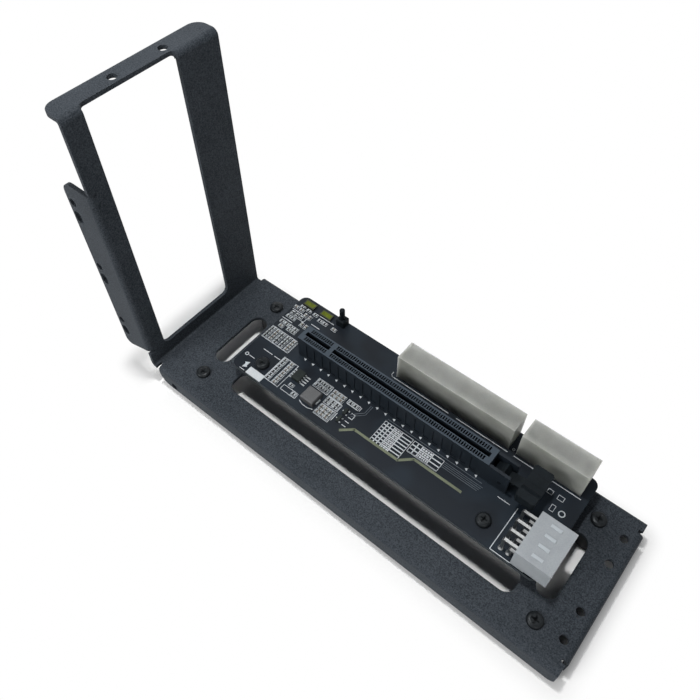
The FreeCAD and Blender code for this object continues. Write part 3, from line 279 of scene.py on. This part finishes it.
cadFinish = {
    "bracket": powderCoat, "rubber_feet": footRubber, "foot_screws": blackOxide, "board": solderMask,
    "board_standoffs": turnedBrass, "board_screws": blackOxide, "slot_housing": slotNylon,
    "slot_latch": deepNylon, "main_supply_header": naturalNylon, "main_supply_pins": tinPlate,
    "aux_supply_header": naturalNylon, "aux_supply_pins": tinPlate, "card_power_header": whiteNylon,
    "card_power_pins": tinPlate, "host_socket_shell": stainlessSheet, "host_socket_tongue": chipEpoxy,
    "button_body": deepNylon, "button_plunger": deepNylon, "lamp_frames": lampReflector,
    "lamp_fills": phosphorResin, "power_choke": ironPowder, "choke_feet": reflowedSolder,
    "regulator_chip": chipEpoxy, "chip_leads": reflowedSolder,
}
for nodeName, material in cadFinish.items():
    nodes[nodeName].data.materials.clear()
    nodes[nodeName].data.materials.append(material)
print("finishes set on", len(cadFinish), "nodes")


# Pieces that lie or stand on the board

def newPiece(name, bm, material):
    mesh = bpy.data.meshes.new(name)
    bm.to_mesh(mesh)
    bm.free()
    piece = bpy.data.objects.new(name, mesh)
    scene.collection.objects.link(piece)
    mesh.materials.append(material)
    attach(piece, "dock")
    return piece


def patch(bm, x0, y0, x1, y1):
    size = Matrix.Diagonal((x1 - x0, y1 - y0, 1, 1))
    middle = Matrix.Translation(((x0 + x1) / 2, (y0 + y1) / 2, 0))
    bmesh.ops.create_grid(bm, x_segments=1, y_segments=1, size=0.5, matrix=boardPlace @ middle @ size)


# A stroke is longer than its run by this share of its width, so that corners close
strokeOverrun = 0.4
ringSides = 20


def stroke(bm, start, end, width):
    run = Vector(end) - Vector(start)
    middle = (Vector(start) + Vector(end)) / 2
    turn = Matrix.Rotation(math.atan2(run.y, run.x), 4, "Z")
    size = Matrix.Diagonal((run.length + width * strokeOverrun, width, 1, 1))
    place = boardPlace @ Matrix.Translation((middle.x, middle.y, 0)) @ turn @ size
    bmesh.ops.create_grid(bm, x_segments=1, y_segments=1, size=0.5, matrix=place)


def outlineBox(bm, x0, y0, x1, y1, width):
    stroke(bm, (x0, y0), (x1, y0), width)
    stroke(bm, (x1, y0), (x1, y1), width)
    stroke(bm, (x1, y1), (x0, y1), width)
    stroke(bm, (x0, y1), (x0, y0), width)


def ring(bm, x, y, diameter, width):
    made = bmesh.ops.create_circle(bm, cap_ends=True, segments=ringSides, radius=diameter / 2,
                                   matrix=boardPlace @ Matrix.Translation((x, y, 0)))
    disc = made["verts"][0].link_faces[0]
    bmesh.ops.inset_region(bm, faces=[disc], thickness=width * mm, use_boundary=True)
    bmesh.ops.delete(bm, geom=[disc], context="FACES")


def tick(bm, x, y, size):
    turn = Matrix.Rotation(math.radians(90), 4, "Z")
    bmesh.ops.create_circle(bm, cap_ends=True, segments=3, radius=size,
                            matrix=boardPlace @ Matrix.Translation((x, y, 0)) @ turn)


def thicken(bm, height):
    grown = bmesh.ops.extrude_face_region(bm, geom=bm.faces[:])
    tops = [item for item in grown["geom"] if isinstance(item, bmesh.types.BMVert)]
    bmesh.ops.translate(bm, verts=tops, vec=(0, 0, height * mm))
    bmesh.ops.recalc_face_normals(bm, faces=bm.faces[:])


def block(bm, x, y, low, length, width, height):
    size = Matrix.Diagonal((length, width, height, 1))
    place = Matrix.Translation((x, y, low + height / 2))
    return bmesh.ops.create_cube(bm, size=1.0, matrix=boardPlace @ place @ size)["verts"]


# White print: part outlines, tables with plain cells, ticks along the card slot
printWork = dict(height=0.02, line=0.2, boldShare=1.4,
                 tickSize=0.72, tickFirst=3.9, tickPitch=4.1, tickCount=21, tickLine=-4.25,
                 rings=((117.1, 2.2, 2.6, 0.4), (-16.7, -17.0, 1.7, 0.35), (91.0, 13.5, 1.2, 0.25)),
                 pairPlace=(-13.2, -21.2), pairGap=0.7, pairSize=1.25)
outlines = [
    (-18.4, -6.6, -3.9, 0.4), (-3.4, -21.3, 4.0, -8.7), (14.4, -11.9, 21.8, -7.6),
    (22.6, -11.7, 28.9, -7.9), (22.6, -15.3, 29.6, -11.9), (22.6, -21.2, 29.6, -15.9),
    (30.0, -9.9, 35.6, -7.9), (5.4, -21.1, 12.9, -18.7),
    (108.8, 6.3, 110.8, 8.1), (112.9, 6.3, 115.2, 8.1), (112.7, 0.9, 114.2, 3.5),
    (46.8, -17.0, 59.8, -6.6), (60.5, -11.8, 73.8, -6.6),
]
strokes = [
    ((36.8, 11.2), (63.3, 11.2)), ((67.0, 11.2), (89.6, 11.2)), ((92.4, 11.2), (101.5, 11.2)),
    ((108.0, 11.2), (119.6, 11.2)), ((104.2, -24.0), (104.2, -5.6)),
    ((104.2, -24.0), (112.0, -24.0)), ((96.3, -6.2), (101.2, -6.2)), ((-13.0, -11.0), (-8.2, -11.0)),
    ((-7.0, -11.0), (-4.0, -11.0)), ((-15.4, -17.0), (-12.6, -17.0)), ((-14.4, -23.8), (-11.9, -23.8)),
    ((14.9, -20.4), (17.0, -21.1)), ((17.0, -21.1), (19.6, -21.1)), ((19.6, -21.1), (21.6, -20.4)),
    ((36.2, -9.7), (36.2, -8.0)), ((36.4, 11.2), (35.6, 12.0)), ((35.6, 12.0), (35.6, 13.4)),
    ((34.6, -12.2), (36.4, -12.2)), ((34.6, -14.4), (36.4, -14.4)), ((36.4, -14.4), (36.4, -12.2)),
    ((34.6, -16.4), (36.4, -16.4)), ((34.6, -18.4), (36.4, -18.4)), ((30.2, -19.6), (30.2, -15.6)),
    ((-14.0, 9.6), (-9.6, 9.6)), ((-9.6, 9.6), (-9.6, 14.0)), ((-18.2, 12.6), (-12.6, 12.6)),
    ((-6.2, 11.0), (-1.8, 11.0)), ((-6.2, 16.6), (1.4, 16.6)), ((-18.4, 6.4), (-13.0, 6.4)),
]
bm = bmesh.new()
for corners in outlines:
    outlineBox(bm, *corners, printWork["line"])
for start, end in strokes:
    stroke(bm, start, end, printWork["line"] * printWork["boldShare"])
for step in range(printWork["tickCount"]):
    x = printWork["tickFirst"] + step * printWork["tickPitch"]
    tick(bm, x, printWork["tickLine"], printWork["tickSize"])
for x, y, diameter, width in printWork["rings"]:
    ring(bm, x, y, diameter, width)
pairX, pairY = printWork["pairPlace"]
for side in (-1, 1):
    tick(bm, pairX, pairY + side * printWork["pairGap"], side * printWork["pairSize"])

# Two tables: a bold grid of dark cells, with plain dashes in one wide column of each
tableWork = dict(rowLine=0.46, columnLine=0.42, firstGap=0.4, lastGap=0.3, leastRun=0.5,
                 shortDash=0.4, longDash=1.1, dashGap=0.3, gapBelow=0.5, gapAbove=0.45)
tables = [
    dict(left=46.8, right=59.8, low=-17.0, high=-6.6, rows=7,
         columns=(48.3, 49.8, 51.4, 55.0), dashes=(51.4, 55.0)),
    dict(left=60.5, right=73.8, low=-11.8, high=-6.6, rows=3,
         columns=(62.4, 64.4, 69.2), dashes=(64.4, 69.2)),
]
draw = random.Random(11)
for table in tables:
    rowHeight = (table["high"] - table["low"]) / table["rows"]
    for row in range(table["rows"]):
        low = table["low"] + row * rowHeight
        stroke(bm, (table["left"], low), (table["right"], low), tableWork["rowLine"])
        x = table["dashes"][0] + tableWork["firstGap"]
        last = table["dashes"][1] - tableWork["lastGap"]
        while x < last - tableWork["leastRun"]:
            dash = min(draw.uniform(tableWork["shortDash"], tableWork["longDash"]), last - x)
            patch(bm, x, low + tableWork["gapBelow"], x + dash, low + rowHeight - tableWork["gapAbove"])
            x += dash + tableWork["dashGap"]
    for column in table["columns"]:
        stroke(bm, (column, table["low"]), (column, table["high"]), tableWork["columnLine"])
thicken(bm, printWork["height"])
newPiece("board_print", bm, printInk)

# Blank paper label near the corner
boardLabel = dict(corners=(-10.8, -24.2, -3.1, -20.8), height=0.09)
bm = bmesh.new()
patch(bm, *boardLabel["corners"])
thicken(bm, boardLabel["height"])
newPiece("board_label", bm, labelPaper)

# Bare plated strip that steps across the front of the board
bareLine = dict(width=1.05, height=0.035,
                points=((35.6, -20.8), (39.8, -17.1), (60.2, -17.1), (64.6, -13.0), (85.2, -13.0)))
bm = bmesh.new()
for start, end in zip(bareLine["points"], bareLine["points"][1:]):
    stroke(bm, start, end, bareLine["width"])
thicken(bm, bareLine["height"])
newPiece("bare_copper_strip", bm, bareStrip)

# Traces under the mask: four lanes beyond the tables, one line along the slot and a bent pair
traceWork = dict(width=0.24, height=0.045, lanes=4, laneFirst=-6.8, lanePitch=0.75,
                 laneFrom=74.2, laneTo=90.4, laneStep=0.4, longLine=((47.0, -5.5), (89.2, -5.5)),
                 pair=2, pairFirst=38.4, pairPitch=0.8, pairFrom=-4.9,
                 bendAt=-9.0, bendStep=0.5, bendRun=4.0)
bm = bmesh.new()
for lane in range(traceWork["lanes"]):
    y = traceWork["laneFirst"] - traceWork["lanePitch"] * lane
    end = traceWork["laneTo"] - traceWork["laneStep"] * lane
    stroke(bm, (traceWork["laneFrom"], y), (end, y), traceWork["width"])
stroke(bm, *traceWork["longLine"], traceWork["width"])
for lane in range(traceWork["pair"]):
    x = traceWork["pairFirst"] + traceWork["pairPitch"] * lane
    bend = traceWork["bendAt"] - traceWork["bendStep"] * lane
    run = traceWork["bendRun"]
    stroke(bm, (x, traceWork["pairFrom"]), (x, bend), traceWork["width"])
    stroke(bm, (x, bend), (x - run, bend - run), traceWork["width"])
thicken(bm, traceWork["height"])
newPiece("board_traces", bm, maskedCopper)
print("print, label, strip and traces drawn")

# Small surface parts: rows of (first x, first y, columns, x pitch, rows, y pitch, kind, long side)
smallPart = dict(length=1.6, width=0.9, height=0.55, resistorShare=0.7, endLength=0.42, endProud=0.04,
                 endRise=0.03, frame=0.34, frameLine=0.15, frameHeight=0.02)
banks = [
    (-17.3, -0.7, 1, 1.0, 4, -1.6, "resistor", "x"), (-14.4, -0.7, 1, 1.0, 4, -1.6, "capacitor", "x"),
    (-11.7, -0.7, 1, 1.0, 4, -1.6, "resistor", "x"), (-8.6, -0.7, 1, 1.0, 4, -1.6, "resistor", "x"),
    (-5.5, -0.7, 1, 1.0, 4, -1.6, "capacitor", "x"),
    (-2.1, -9.8, 1, 1.0, 7, -1.75, "resistor", "x"), (1.5, -9.8, 1, 1.0, 7, -1.75, "capacitor", "x"),
    (15.8, -8.7, 3, 2.3, 2, -1.9, "resistor", "x"), (23.8, -8.9, 3, 2.0, 2, -1.7, "capacitor", "x"),
    (23.8, -12.9, 3, 2.1, 2, -1.5, "resistor", "x"), (23.8, -16.9, 3, 2.1, 3, -1.55, "capacitor", "x"),
    (7.9, -17.2, 1, 1.0, 1, 1.0, "resistor", "x"), (11.4, -19.9, 1, 1.0, 1, 1.0, "resistor", "x"),
    (31.6, -8.9, 2, 2.2, 1, 1.0, "resistor", "x"),
    (-17.3, 14.2, 2, 3.0, 1, 1.0, "capacitor", "x"), (-16.6, 10.8, 3, 2.3, 1, 1.0, "resistor", "y"),
    (-16.6, 8.4, 2, 2.4, 1, 1.0, "resistor", "x"), (-9.2, 8.2, 2, 2.3, 1, 1.0, "capacitor", "y"),
    (-16.8, 4.6, 4, 2.5, 1, 1.0, "resistor", "x"), (-15.6, 2.4, 1, 1.0, 1, 1.0, "capacitor", "x"),
    (-11.6, 2.9, 2, 2.3, 1, 1.0, "resistor", "x"), (-15.2, 15.8, 3, 3.6, 1, 1.0, "resistor", "x"),
    (-11.2, 12.9, 2, 2.4, 1, 1.0, "capacitor", "y"), (-4.4, 14.6, 2, 2.6, 1, 1.0, "resistor", "x"),
    (3.2, 14.6, 1, 1.0, 1, 1.0, "capacitor", "x"),
]
bodies = {"capacitor": bmesh.new(), "resistor": bmesh.new()}
ends, frames = bmesh.new(), bmesh.new()
core, tip = smallPart["length"] - 2 * smallPart["endLength"], smallPart["endLength"]
reach = (core + tip) / 2
for firstX, firstY, columns, stepX, rows, stepY, kind, side in banks:
    for column in range(columns):
        for row in range(rows):
            x, y = firstX + column * stepX, firstY + row * stepY
            tall = smallPart["height"] * (1.0 if kind == "capacitor" else smallPart["resistorShare"])
            spanX = smallPart["length"] / 2 + smallPart["frame"]
            spanY = smallPart["width"] / 2 + smallPart["frame"]
            if side == "y":
                spanX, spanY = spanY, spanX
            outlineBox(frames, x - spanX, y - spanY, x + spanX, y + spanY, smallPart["frameLine"])
            for sign in (-1, 0, 1):
                long, wide = tip, smallPart["width"] + smallPart["endProud"]
                if sign == 0:
                    long, wide = core, smallPart["width"]
                dx, dy = (sign * reach, 0) if side == "x" else (0, sign * reach)
                sizeX, sizeY = (long, wide) if side == "x" else (wide, long)
                rise = tall + smallPart["endRise"] * abs(sign)
                block(bodies[kind] if sign == 0 else ends, x + dx, y + dy, 0, sizeX, sizeY, rise)
newPiece("chip_capacitors", bodies["capacitor"], firedCeramic)
newPiece("chip_resistors", bodies["resistor"], resistorGlaze)

# Solder under the leads of the regulator chip
chipPads = dict(middleY=-12.4, left=(4.2, 5.6), right=(9.6, 12.0), count=4, pitch=1.27,
                width=0.55, height=0.08)
for step in range(chipPads["count"]):
    y = chipPads["middleY"] + (step - (chipPads["count"] - 1) / 2) * chipPads["pitch"]
    for low, high in (chipPads["left"], chipPads["right"]):
        block(ends, (low + high) / 2, y, 0, high - low, chipPads["width"], chipPads["height"])
newPiece("chip_part_ends", ends, reflowedSolder)
thicken(frames, smallPart["frameHeight"])
newPiece("part_frames", frames, printInk)
print("board parts placed")

# Two small three-lead packages beside the last bank
smallPackage = dict(places=((32.4, -13.3), (32.4, -17.3)), length=1.4, width=2.9, height=1.0, lift=0.1,
                    bevel=0.12, leads=((0.95, 0.95), (0.95, -0.95), (-0.95, 0.0)),
                    leadLength=0.7, leadWidth=0.45, leadHeight=0.25)
body, legs = bmesh.new(), bmesh.new()
for x, y in smallPackage["places"]:
    top = block(body, x, y, smallPackage["lift"], smallPackage["length"], smallPackage["width"],
                smallPackage["height"])
    rim = list({edge for vert in top for edge in vert.link_edges})
    bmesh.ops.bevel(body, geom=rim, offset=smallPackage["bevel"] * mm, affect="EDGES", segments=1,
                    profile=0.5, material=-1)
    for legX, legY in smallPackage["leads"]:
        block(legs, x + legX, y + legY, 0, smallPackage["leadLength"], smallPackage["leadWidth"],
              smallPackage["leadHeight"])
newPiece("small_packages", body, chipEpoxy)
newPiece("small_package_leads", legs, reflowedSolder)

# Spring contacts of the card slot: a pair in each cell, leaning to the card
contactWork = dict(banks=((3.0, 11), (16.0, 71)), pitch=1.0, inner=1.62, thick=0.3, length=0.42,
                   low=1.7, high=6.4, lean=0.35, highlightFrom=1.0)
bm = bmesh.new()
for first, count in contactWork["banks"]:
    for step in range(count):
        for side in (-1, 1):
            middle = contactWork["inner"] + contactWork["thick"] / 2
            verts = block(bm, first + step * contactWork["pitch"], side * (middle + contactWork["lean"]),
                          contactWork["low"], contactWork["length"], contactWork["thick"],
                          contactWork["high"] - contactWork["low"])
            split = boardHigh.z + contactWork["low"] * mm + contactWork["highlightFrom"] * mm
            tops = [vert for vert in verts if vert.co.z > split]
            bmesh.ops.translate(bm, verts=tops, vec=(0, -side * contactWork["lean"] * mm, 0))
newPiece("slot_contacts", bm, goldPlate)
print("slot contacts placed")


# Machine screws: domed heads with a cross recess, in the place of the plain ones
screwMake = dict(sides=28, recessTaper=0.7, flatFrom=0.95, smallFace=1e-8)


def screwHeads(name, node, spec):
    low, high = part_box(node)
    bm = bmesh.new()
    seat = high.z - spec["rise"] * mm
    for x, y in spec["places"]:
        start = bmesh.ops.create_circle(bm, segments=screwMake["sides"], radius=spec["shank"] / 2 * mm,
                                        matrix=Matrix.Translation((x, y, low.z)), cap_ends=True)["verts"]
        loop = list({edge for vert in start for edge in vert.link_edges})
        for radius, rise in ((spec["shank"] / 2, 0.0), (spec["head"] / 2, 0.0), *spec["dome"]):
            grown = bmesh.ops.extrude_edge_only(bm, edges=loop)["geom"]
            verts = [item for item in grown if isinstance(item, bmesh.types.BMVert)]
            loop = [item for item in grown if isinstance(item, bmesh.types.BMEdge)]
            for vert in verts:
                away = (vert.co - Vector((x, y, vert.co.z))).normalized()
                vert.co = Vector((x, y, seat + rise * mm)) + away * radius * mm
        arm, reach = spec["slot"] / 2 * mm, spec["cross"] / 2 * mm
        corners = [(reach, arm), (arm, arm), (arm, reach), (-arm, reach), (-arm, arm), (-reach, arm),
                   (-reach, -arm), (-arm, -arm), (-arm, -reach), (arm, -reach), (arm, -arm), (reach, -arm)]
        mouth = bmesh.ops.create_circle(bm, segments=len(corners), radius=arm, cap_ends=True)["verts"]
        for vert, (dx, dy) in zip(mouth, corners):
            vert.co = Vector((x + dx, y + dy, high.z))
        recess = mouth[0].link_faces[0]
        mouthLoop = list(recess.edges)
        grown = bmesh.ops.extrude_face_region(bm, geom=[recess])["geom"]
        sunk = [item for item in grown if isinstance(item, bmesh.types.BMVert)]
        bmesh.ops.translate(bm, verts=sunk, vec=(0, 0, -spec["deep"] * mm))
        taper = screwMake["recessTaper"]
        bmesh.ops.scale(bm, verts=sunk, vec=(taper, taper, 1), space=Matrix.Translation((-x, -y, 0)))
        if recess.is_valid:
            bmesh.ops.delete(bm, geom=[recess], context="FACES_ONLY")
        bmesh.ops.triangle_fill(bm, use_beauty=True, edges=loop + mouthLoop)
    bmesh.ops.recalc_face_normals(bm, faces=bm.faces[:])
    piece = newPiece(name, bm, blackOxide)
    for face in piece.data.polygons:
        sloped = abs(face.normal.z) < screwMake["flatFrom"]
        face.use_smooth = sloped and face.area > screwMake["smallFace"]
    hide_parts(node)


cornerScrew = dict(rise=1.4, shank=3.9, head=6.0, cross=3.2, slot=0.8, deep=2.2,
                   dome=((3.0, 0.4), (2.8, 0.9), (2.35, 1.25), (1.8, 1.4)))
footLow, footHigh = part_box("foot_screws")
footInset = cornerScrew["head"] / 2 * mm
cornerScrew["places"] = [(x, y) for x in (footLow.x + footInset, footHigh.x - footInset)
                         for y in (footLow.y + footInset, footHigh.y - footInset)]
screwHeads("corner_screws", "foot_screws", cornerScrew)

boardScrew = dict(rise=1.9, shank=2.9, head=5.8, cross=3.0, slot=0.75, deep=2.2,
                  dome=((2.9, 0.7), (2.7, 1.3), (2.3, 1.7), (1.8, 1.9)))
tieLow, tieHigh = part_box("board_screws")
tieInset, tieLine = boardScrew["head"] / 2 * mm, (tieLow.y + tieHigh.y) / 2
boardScrew["places"] = [(tieLow.x + tieInset, tieLine), (tieHigh.x - tieInset, tieLine)]
screwHeads("board_tie_screws", "board_screws", boardScrew)
print("screws made")

# Solder points: cones under the board, and on both of its faces round the card power pins
solderWork = dict(radius=0.75, tip=0.32, height=0.7, segments=8, boardThickness=1.6,
                  finePitch=2.0, fineShare=0.42)
solderRows = [
    (40.4, 14.2, 12, 4.2), (40.4, 18.4, 12, 4.2), (95.4, 14.2, 6, 4.2), (95.4, 18.4, 6, 4.2),
    (3.0, 1.7, 11, 1.0), (3.0, -1.7, 11, 1.0), (16.0, 1.7, 71, 1.0), (16.0, -1.7, 71, 1.0),
]
bm = bmesh.new()
for firstX, y, count, pitch in solderRows:
    share = 1.0 if pitch > solderWork["finePitch"] else solderWork["fineShare"]
    for step in range(count):
        under = Matrix.Translation((firstX + step * pitch, y, -solderWork["boardThickness"]))
        flip = Matrix.Rotation(math.pi, 4, "X")
        shape = Matrix.Translation((0, 0, solderWork["height"] / 2 * share))
        bmesh.ops.create_cone(bm, cap_ends=True, segments=solderWork["segments"],
                              radius1=solderWork["radius"] * share, radius2=solderWork["tip"] * share,
                              depth=solderWork["height"] * share, matrix=boardPlace @ under @ flip @ shape)
cardSolder = dict(pinHalf=0.535, columns=4, pitch=4.2, rows=(0.0, 3.0), segments=12,
                  foot=1.1, shoulder=0.7, above=0.6, bulge=1.2, point=0.4, below=0.7)
cardLow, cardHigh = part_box("card_power_pins")
pinHalf = cardSolder["pinHalf"] * mm
for column in range(cardSolder["columns"]):
    y = cardHigh.y - pinHalf - column * cardSolder["pitch"] * mm
    for back in cardSolder["rows"]:
        x = cardLow.x + pinHalf + back * mm
        top = Matrix.Translation((x, y, boardHigh.z + cardSolder["above"] / 2 * mm)) @ Matrix.Scale(mm, 4)
        bmesh.ops.create_cone(bm, cap_ends=True, segments=cardSolder["segments"], depth=cardSolder["above"],
                              radius1=cardSolder["foot"], radius2=cardSolder["shoulder"], matrix=top)
        under = Matrix.Translation((x, y, boardLow.z - cardSolder["below"] / 2 * mm)) @ Matrix.Scale(mm, 4)
        bmesh.ops.create_cone(bm, cap_ends=True, segments=cardSolder["segments"], depth=cardSolder["below"],
                              radius1=cardSolder["point"], radius2=cardSolder["bulge"], matrix=under)
newPiece("solder_points", bm, tinPlate)

# Contact strips on the tongue of the host socket
tongueLow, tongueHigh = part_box("host_socket_tongue")
tongueStrips = dict(count=20, pitch=0.7, width=0.36, thick=0.06, reach=6.5, setBack=0.5, tongue=1.1)
bm = bmesh.new()
middleX, middleZ = (tongueLow.x + tongueHigh.x) / 2, (tongueLow.z + tongueHigh.z) / 2
for step in range(tongueStrips["count"]):
    x = middleX + (step - (tongueStrips["count"] - 1) / 2) * tongueStrips["pitch"] * mm
    for side in (-1, 1):
        z = middleZ + side * (tongueStrips["tongue"] + tongueStrips["thick"]) / 2 * mm
        y = tongueHigh.y - (tongueStrips["reach"] / 2 + tongueStrips["setBack"]) * mm
        size = Matrix.Diagonal((tongueStrips["width"], tongueStrips["reach"], tongueStrips["thick"], 1))
        bmesh.ops.create_cube(bm, size=mm, matrix=Matrix.Translation((x, y, z)) @ size)
newPiece("host_socket_contacts", bm, goldPlate)
print("solder and socket contacts made")


# Floor, light and camera

stageSet = dict(floorSpan=3.0, floorColour="#fdfdfc", footprint=(0.101, 0.03, 0.0), shadeReach=0.012,
                fibreMm=0.5, tooth=0.05, toothMm=0.02, rough=0.95, specular=0.1,
                roomColour="#dfe6ee", roomStrength=0.06)


# 1 for what the camera sees, straight, mirrored or through something clear, and 0 for light that falls
def seenRays(tree):
    path = addNode(tree, "ShaderNodeLightPath")
    shiny = addNode(tree, "ShaderNodeMath", {"operation": "MAXIMUM"},
                    {0: path.outputs["Is Glossy Ray"], 1: path.outputs["Is Transmission Ray"]})
    seen = addNode(tree, "ShaderNodeMath", {"operation": "MAXIMUM"},
                   {0: path.outputs["Is Camera Ray"], 1: shiny.outputs[0]})
    return seen.outputs[0]


bm = bmesh.new()
bmesh.ops.create_grid(bm, x_segments=1, y_segments=1, size=stageSet["floorSpan"] / 2)
floorMesh = bpy.data.meshes.new("pale_floor")
bm.to_mesh(floorMesh)
bm.free()
floor = bpy.data.objects.new("pale_floor", floorMesh)
scene.collection.objects.link(floor)

# Matt studio paper: takes the dock's shadow near it, and runs out to plain white further off,
# for the camera and for what shines
paper, tree, shader, place = startMaterial("studio_paper")
fibres = addNode(tree, "ShaderNodeTexNoise", {"Scale": 1 / (stageSet["fibreMm"] * mm), "Detail": 2.0},
                 {"Vector": place})
tooth = addNode(tree, "ShaderNodeBump",
                {"Strength": stageSet["tooth"], "Distance": stageSet["toothMm"] * mm},
                {"Height": fibres.outputs["Fac"]})
tree.links.new(tooth.outputs["Normal"], shader.inputs["Normal"])
shader.inputs["Base Color"].default_value = srgb(stageSet["floorColour"])
shader.inputs["Roughness"].default_value = stageSet["rough"]
shader.inputs["Specular IOR Level"].default_value = stageSet["specular"]
folded = addNode(tree, "ShaderNodeVectorMath", {"operation": "ABSOLUTE"}, {0: place})
past = addNode(tree, "ShaderNodeVectorMath", {"operation": "SUBTRACT", 1: stageSet["footprint"]},
               {0: folded.outputs["Vector"]})
outside = addNode(tree, "ShaderNodeVectorMath", {"operation": "MAXIMUM", 1: (0, 0, 0)},
                  {0: past.outputs["Vector"]})
away = addNode(tree, "ShaderNodeVectorMath", {"operation": "LENGTH"}, {0: outside.outputs["Vector"]})
fade = addNode(tree, "ShaderNodeMapRange",
               {"interpolation_type": "SMOOTHSTEP", "From Min": 0.0, "From Max": stageSet["shadeReach"]},
               {"Value": away.outputs["Value"]})
share = addNode(tree, "ShaderNodeMath", {"operation": "MULTIPLY"},
                {0: fade.outputs["Result"], 1: seenRays(tree)})
bright = addNode(tree, "ShaderNodeEmission", {"Color": (1, 1, 1, 1), "Strength": 1.0})
blend = addNode(tree, "ShaderNodeMixShader", None,
                {0: share.outputs[0], 1: shader.outputs[0], 2: bright.outputs[0]})
tree.links.new(blend.outputs[0], tree.nodes["Material Output"].inputs["Surface"])
floorMesh.materials.append(paper)

world = bpy.data.worlds.new("studio")
scene.world = world
world.use_nodes = True
tree = world.node_tree
room = tree.nodes["Background"]
room.inputs["Color"].default_value = srgb(stageSet["roomColour"])
room.inputs["Strength"].default_value = stageSet["roomStrength"]
white = addNode(tree, "ShaderNodeBackground", {"Color": (1, 1, 1, 1), "Strength": 1.0})
blend = addNode(tree, "ShaderNodeMixShader", None,
                {0: seenRays(tree), 1: room.outputs[0], 2: white.outputs[0]})
tree.links.new(blend.outputs[0], tree.nodes["World Output"].inputs["Surface"])

# A small lamp overhead, which shines down through the openings, and soft boxes behind, in front
# and at the open end
lamps = [
    dict(name="overhead_lamp", at=(-0.06, 0.01, 0.5), aim=(-0.02, 0.01, 0.0), size=0.04, watts=1.4),
    dict(name="rear_softbox", at=(-0.8, 0.8, 0.75), aim=(0.0, 0.0, 0.02), size=0.6, watts=3.4),
    dict(name="front_softbox", at=(-0.5, -1.0, 0.66), aim=(0.0, 0.0, 0.03), size=0.5, watts=9.5),
    dict(name="side_softbox", at=(0.8, -0.8, 0.5), aim=(0.0, 0.0, 0.05), size=0.4, watts=2.4),
]
for lamp in lamps:
    data = bpy.data.lights.new(lamp["name"], "AREA")
    data.energy, data.size = lamp["watts"], lamp["size"]
    light = bpy.data.objects.new(lamp["name"], data)
    light.location = lamp["at"]
    light.rotation_euler = (Vector(lamp["aim"]) - Vector(lamp["at"])).to_track_quat("-Z", "Y").to_euler()
    scene.collection.objects.link(light)

# Camera solved from the board and the upright together
view = dict(at=(0.08330, -0.11120, 0.25173), turn=(37.273, 0.551, 39.375), lens=36.28, sensor=36.0,
            shift=(0.0065, -0.0189), clip=(0.005, 20.0))
camera = bpy.data.objects.new("camera", bpy.data.cameras.new("camera"))
camera.location = view["at"]
camera.rotation_euler = [math.radians(angle) for angle in view["turn"]]
camera.data.lens, camera.data.sensor_width = view["lens"], view["sensor"]
camera.data.shift_x, camera.data.shift_y = view["shift"]
camera.data.clip_start, camera.data.clip_end = view["clip"]
scene.collection.objects.link(camera)
scene.camera = camera
print("camera and light set")
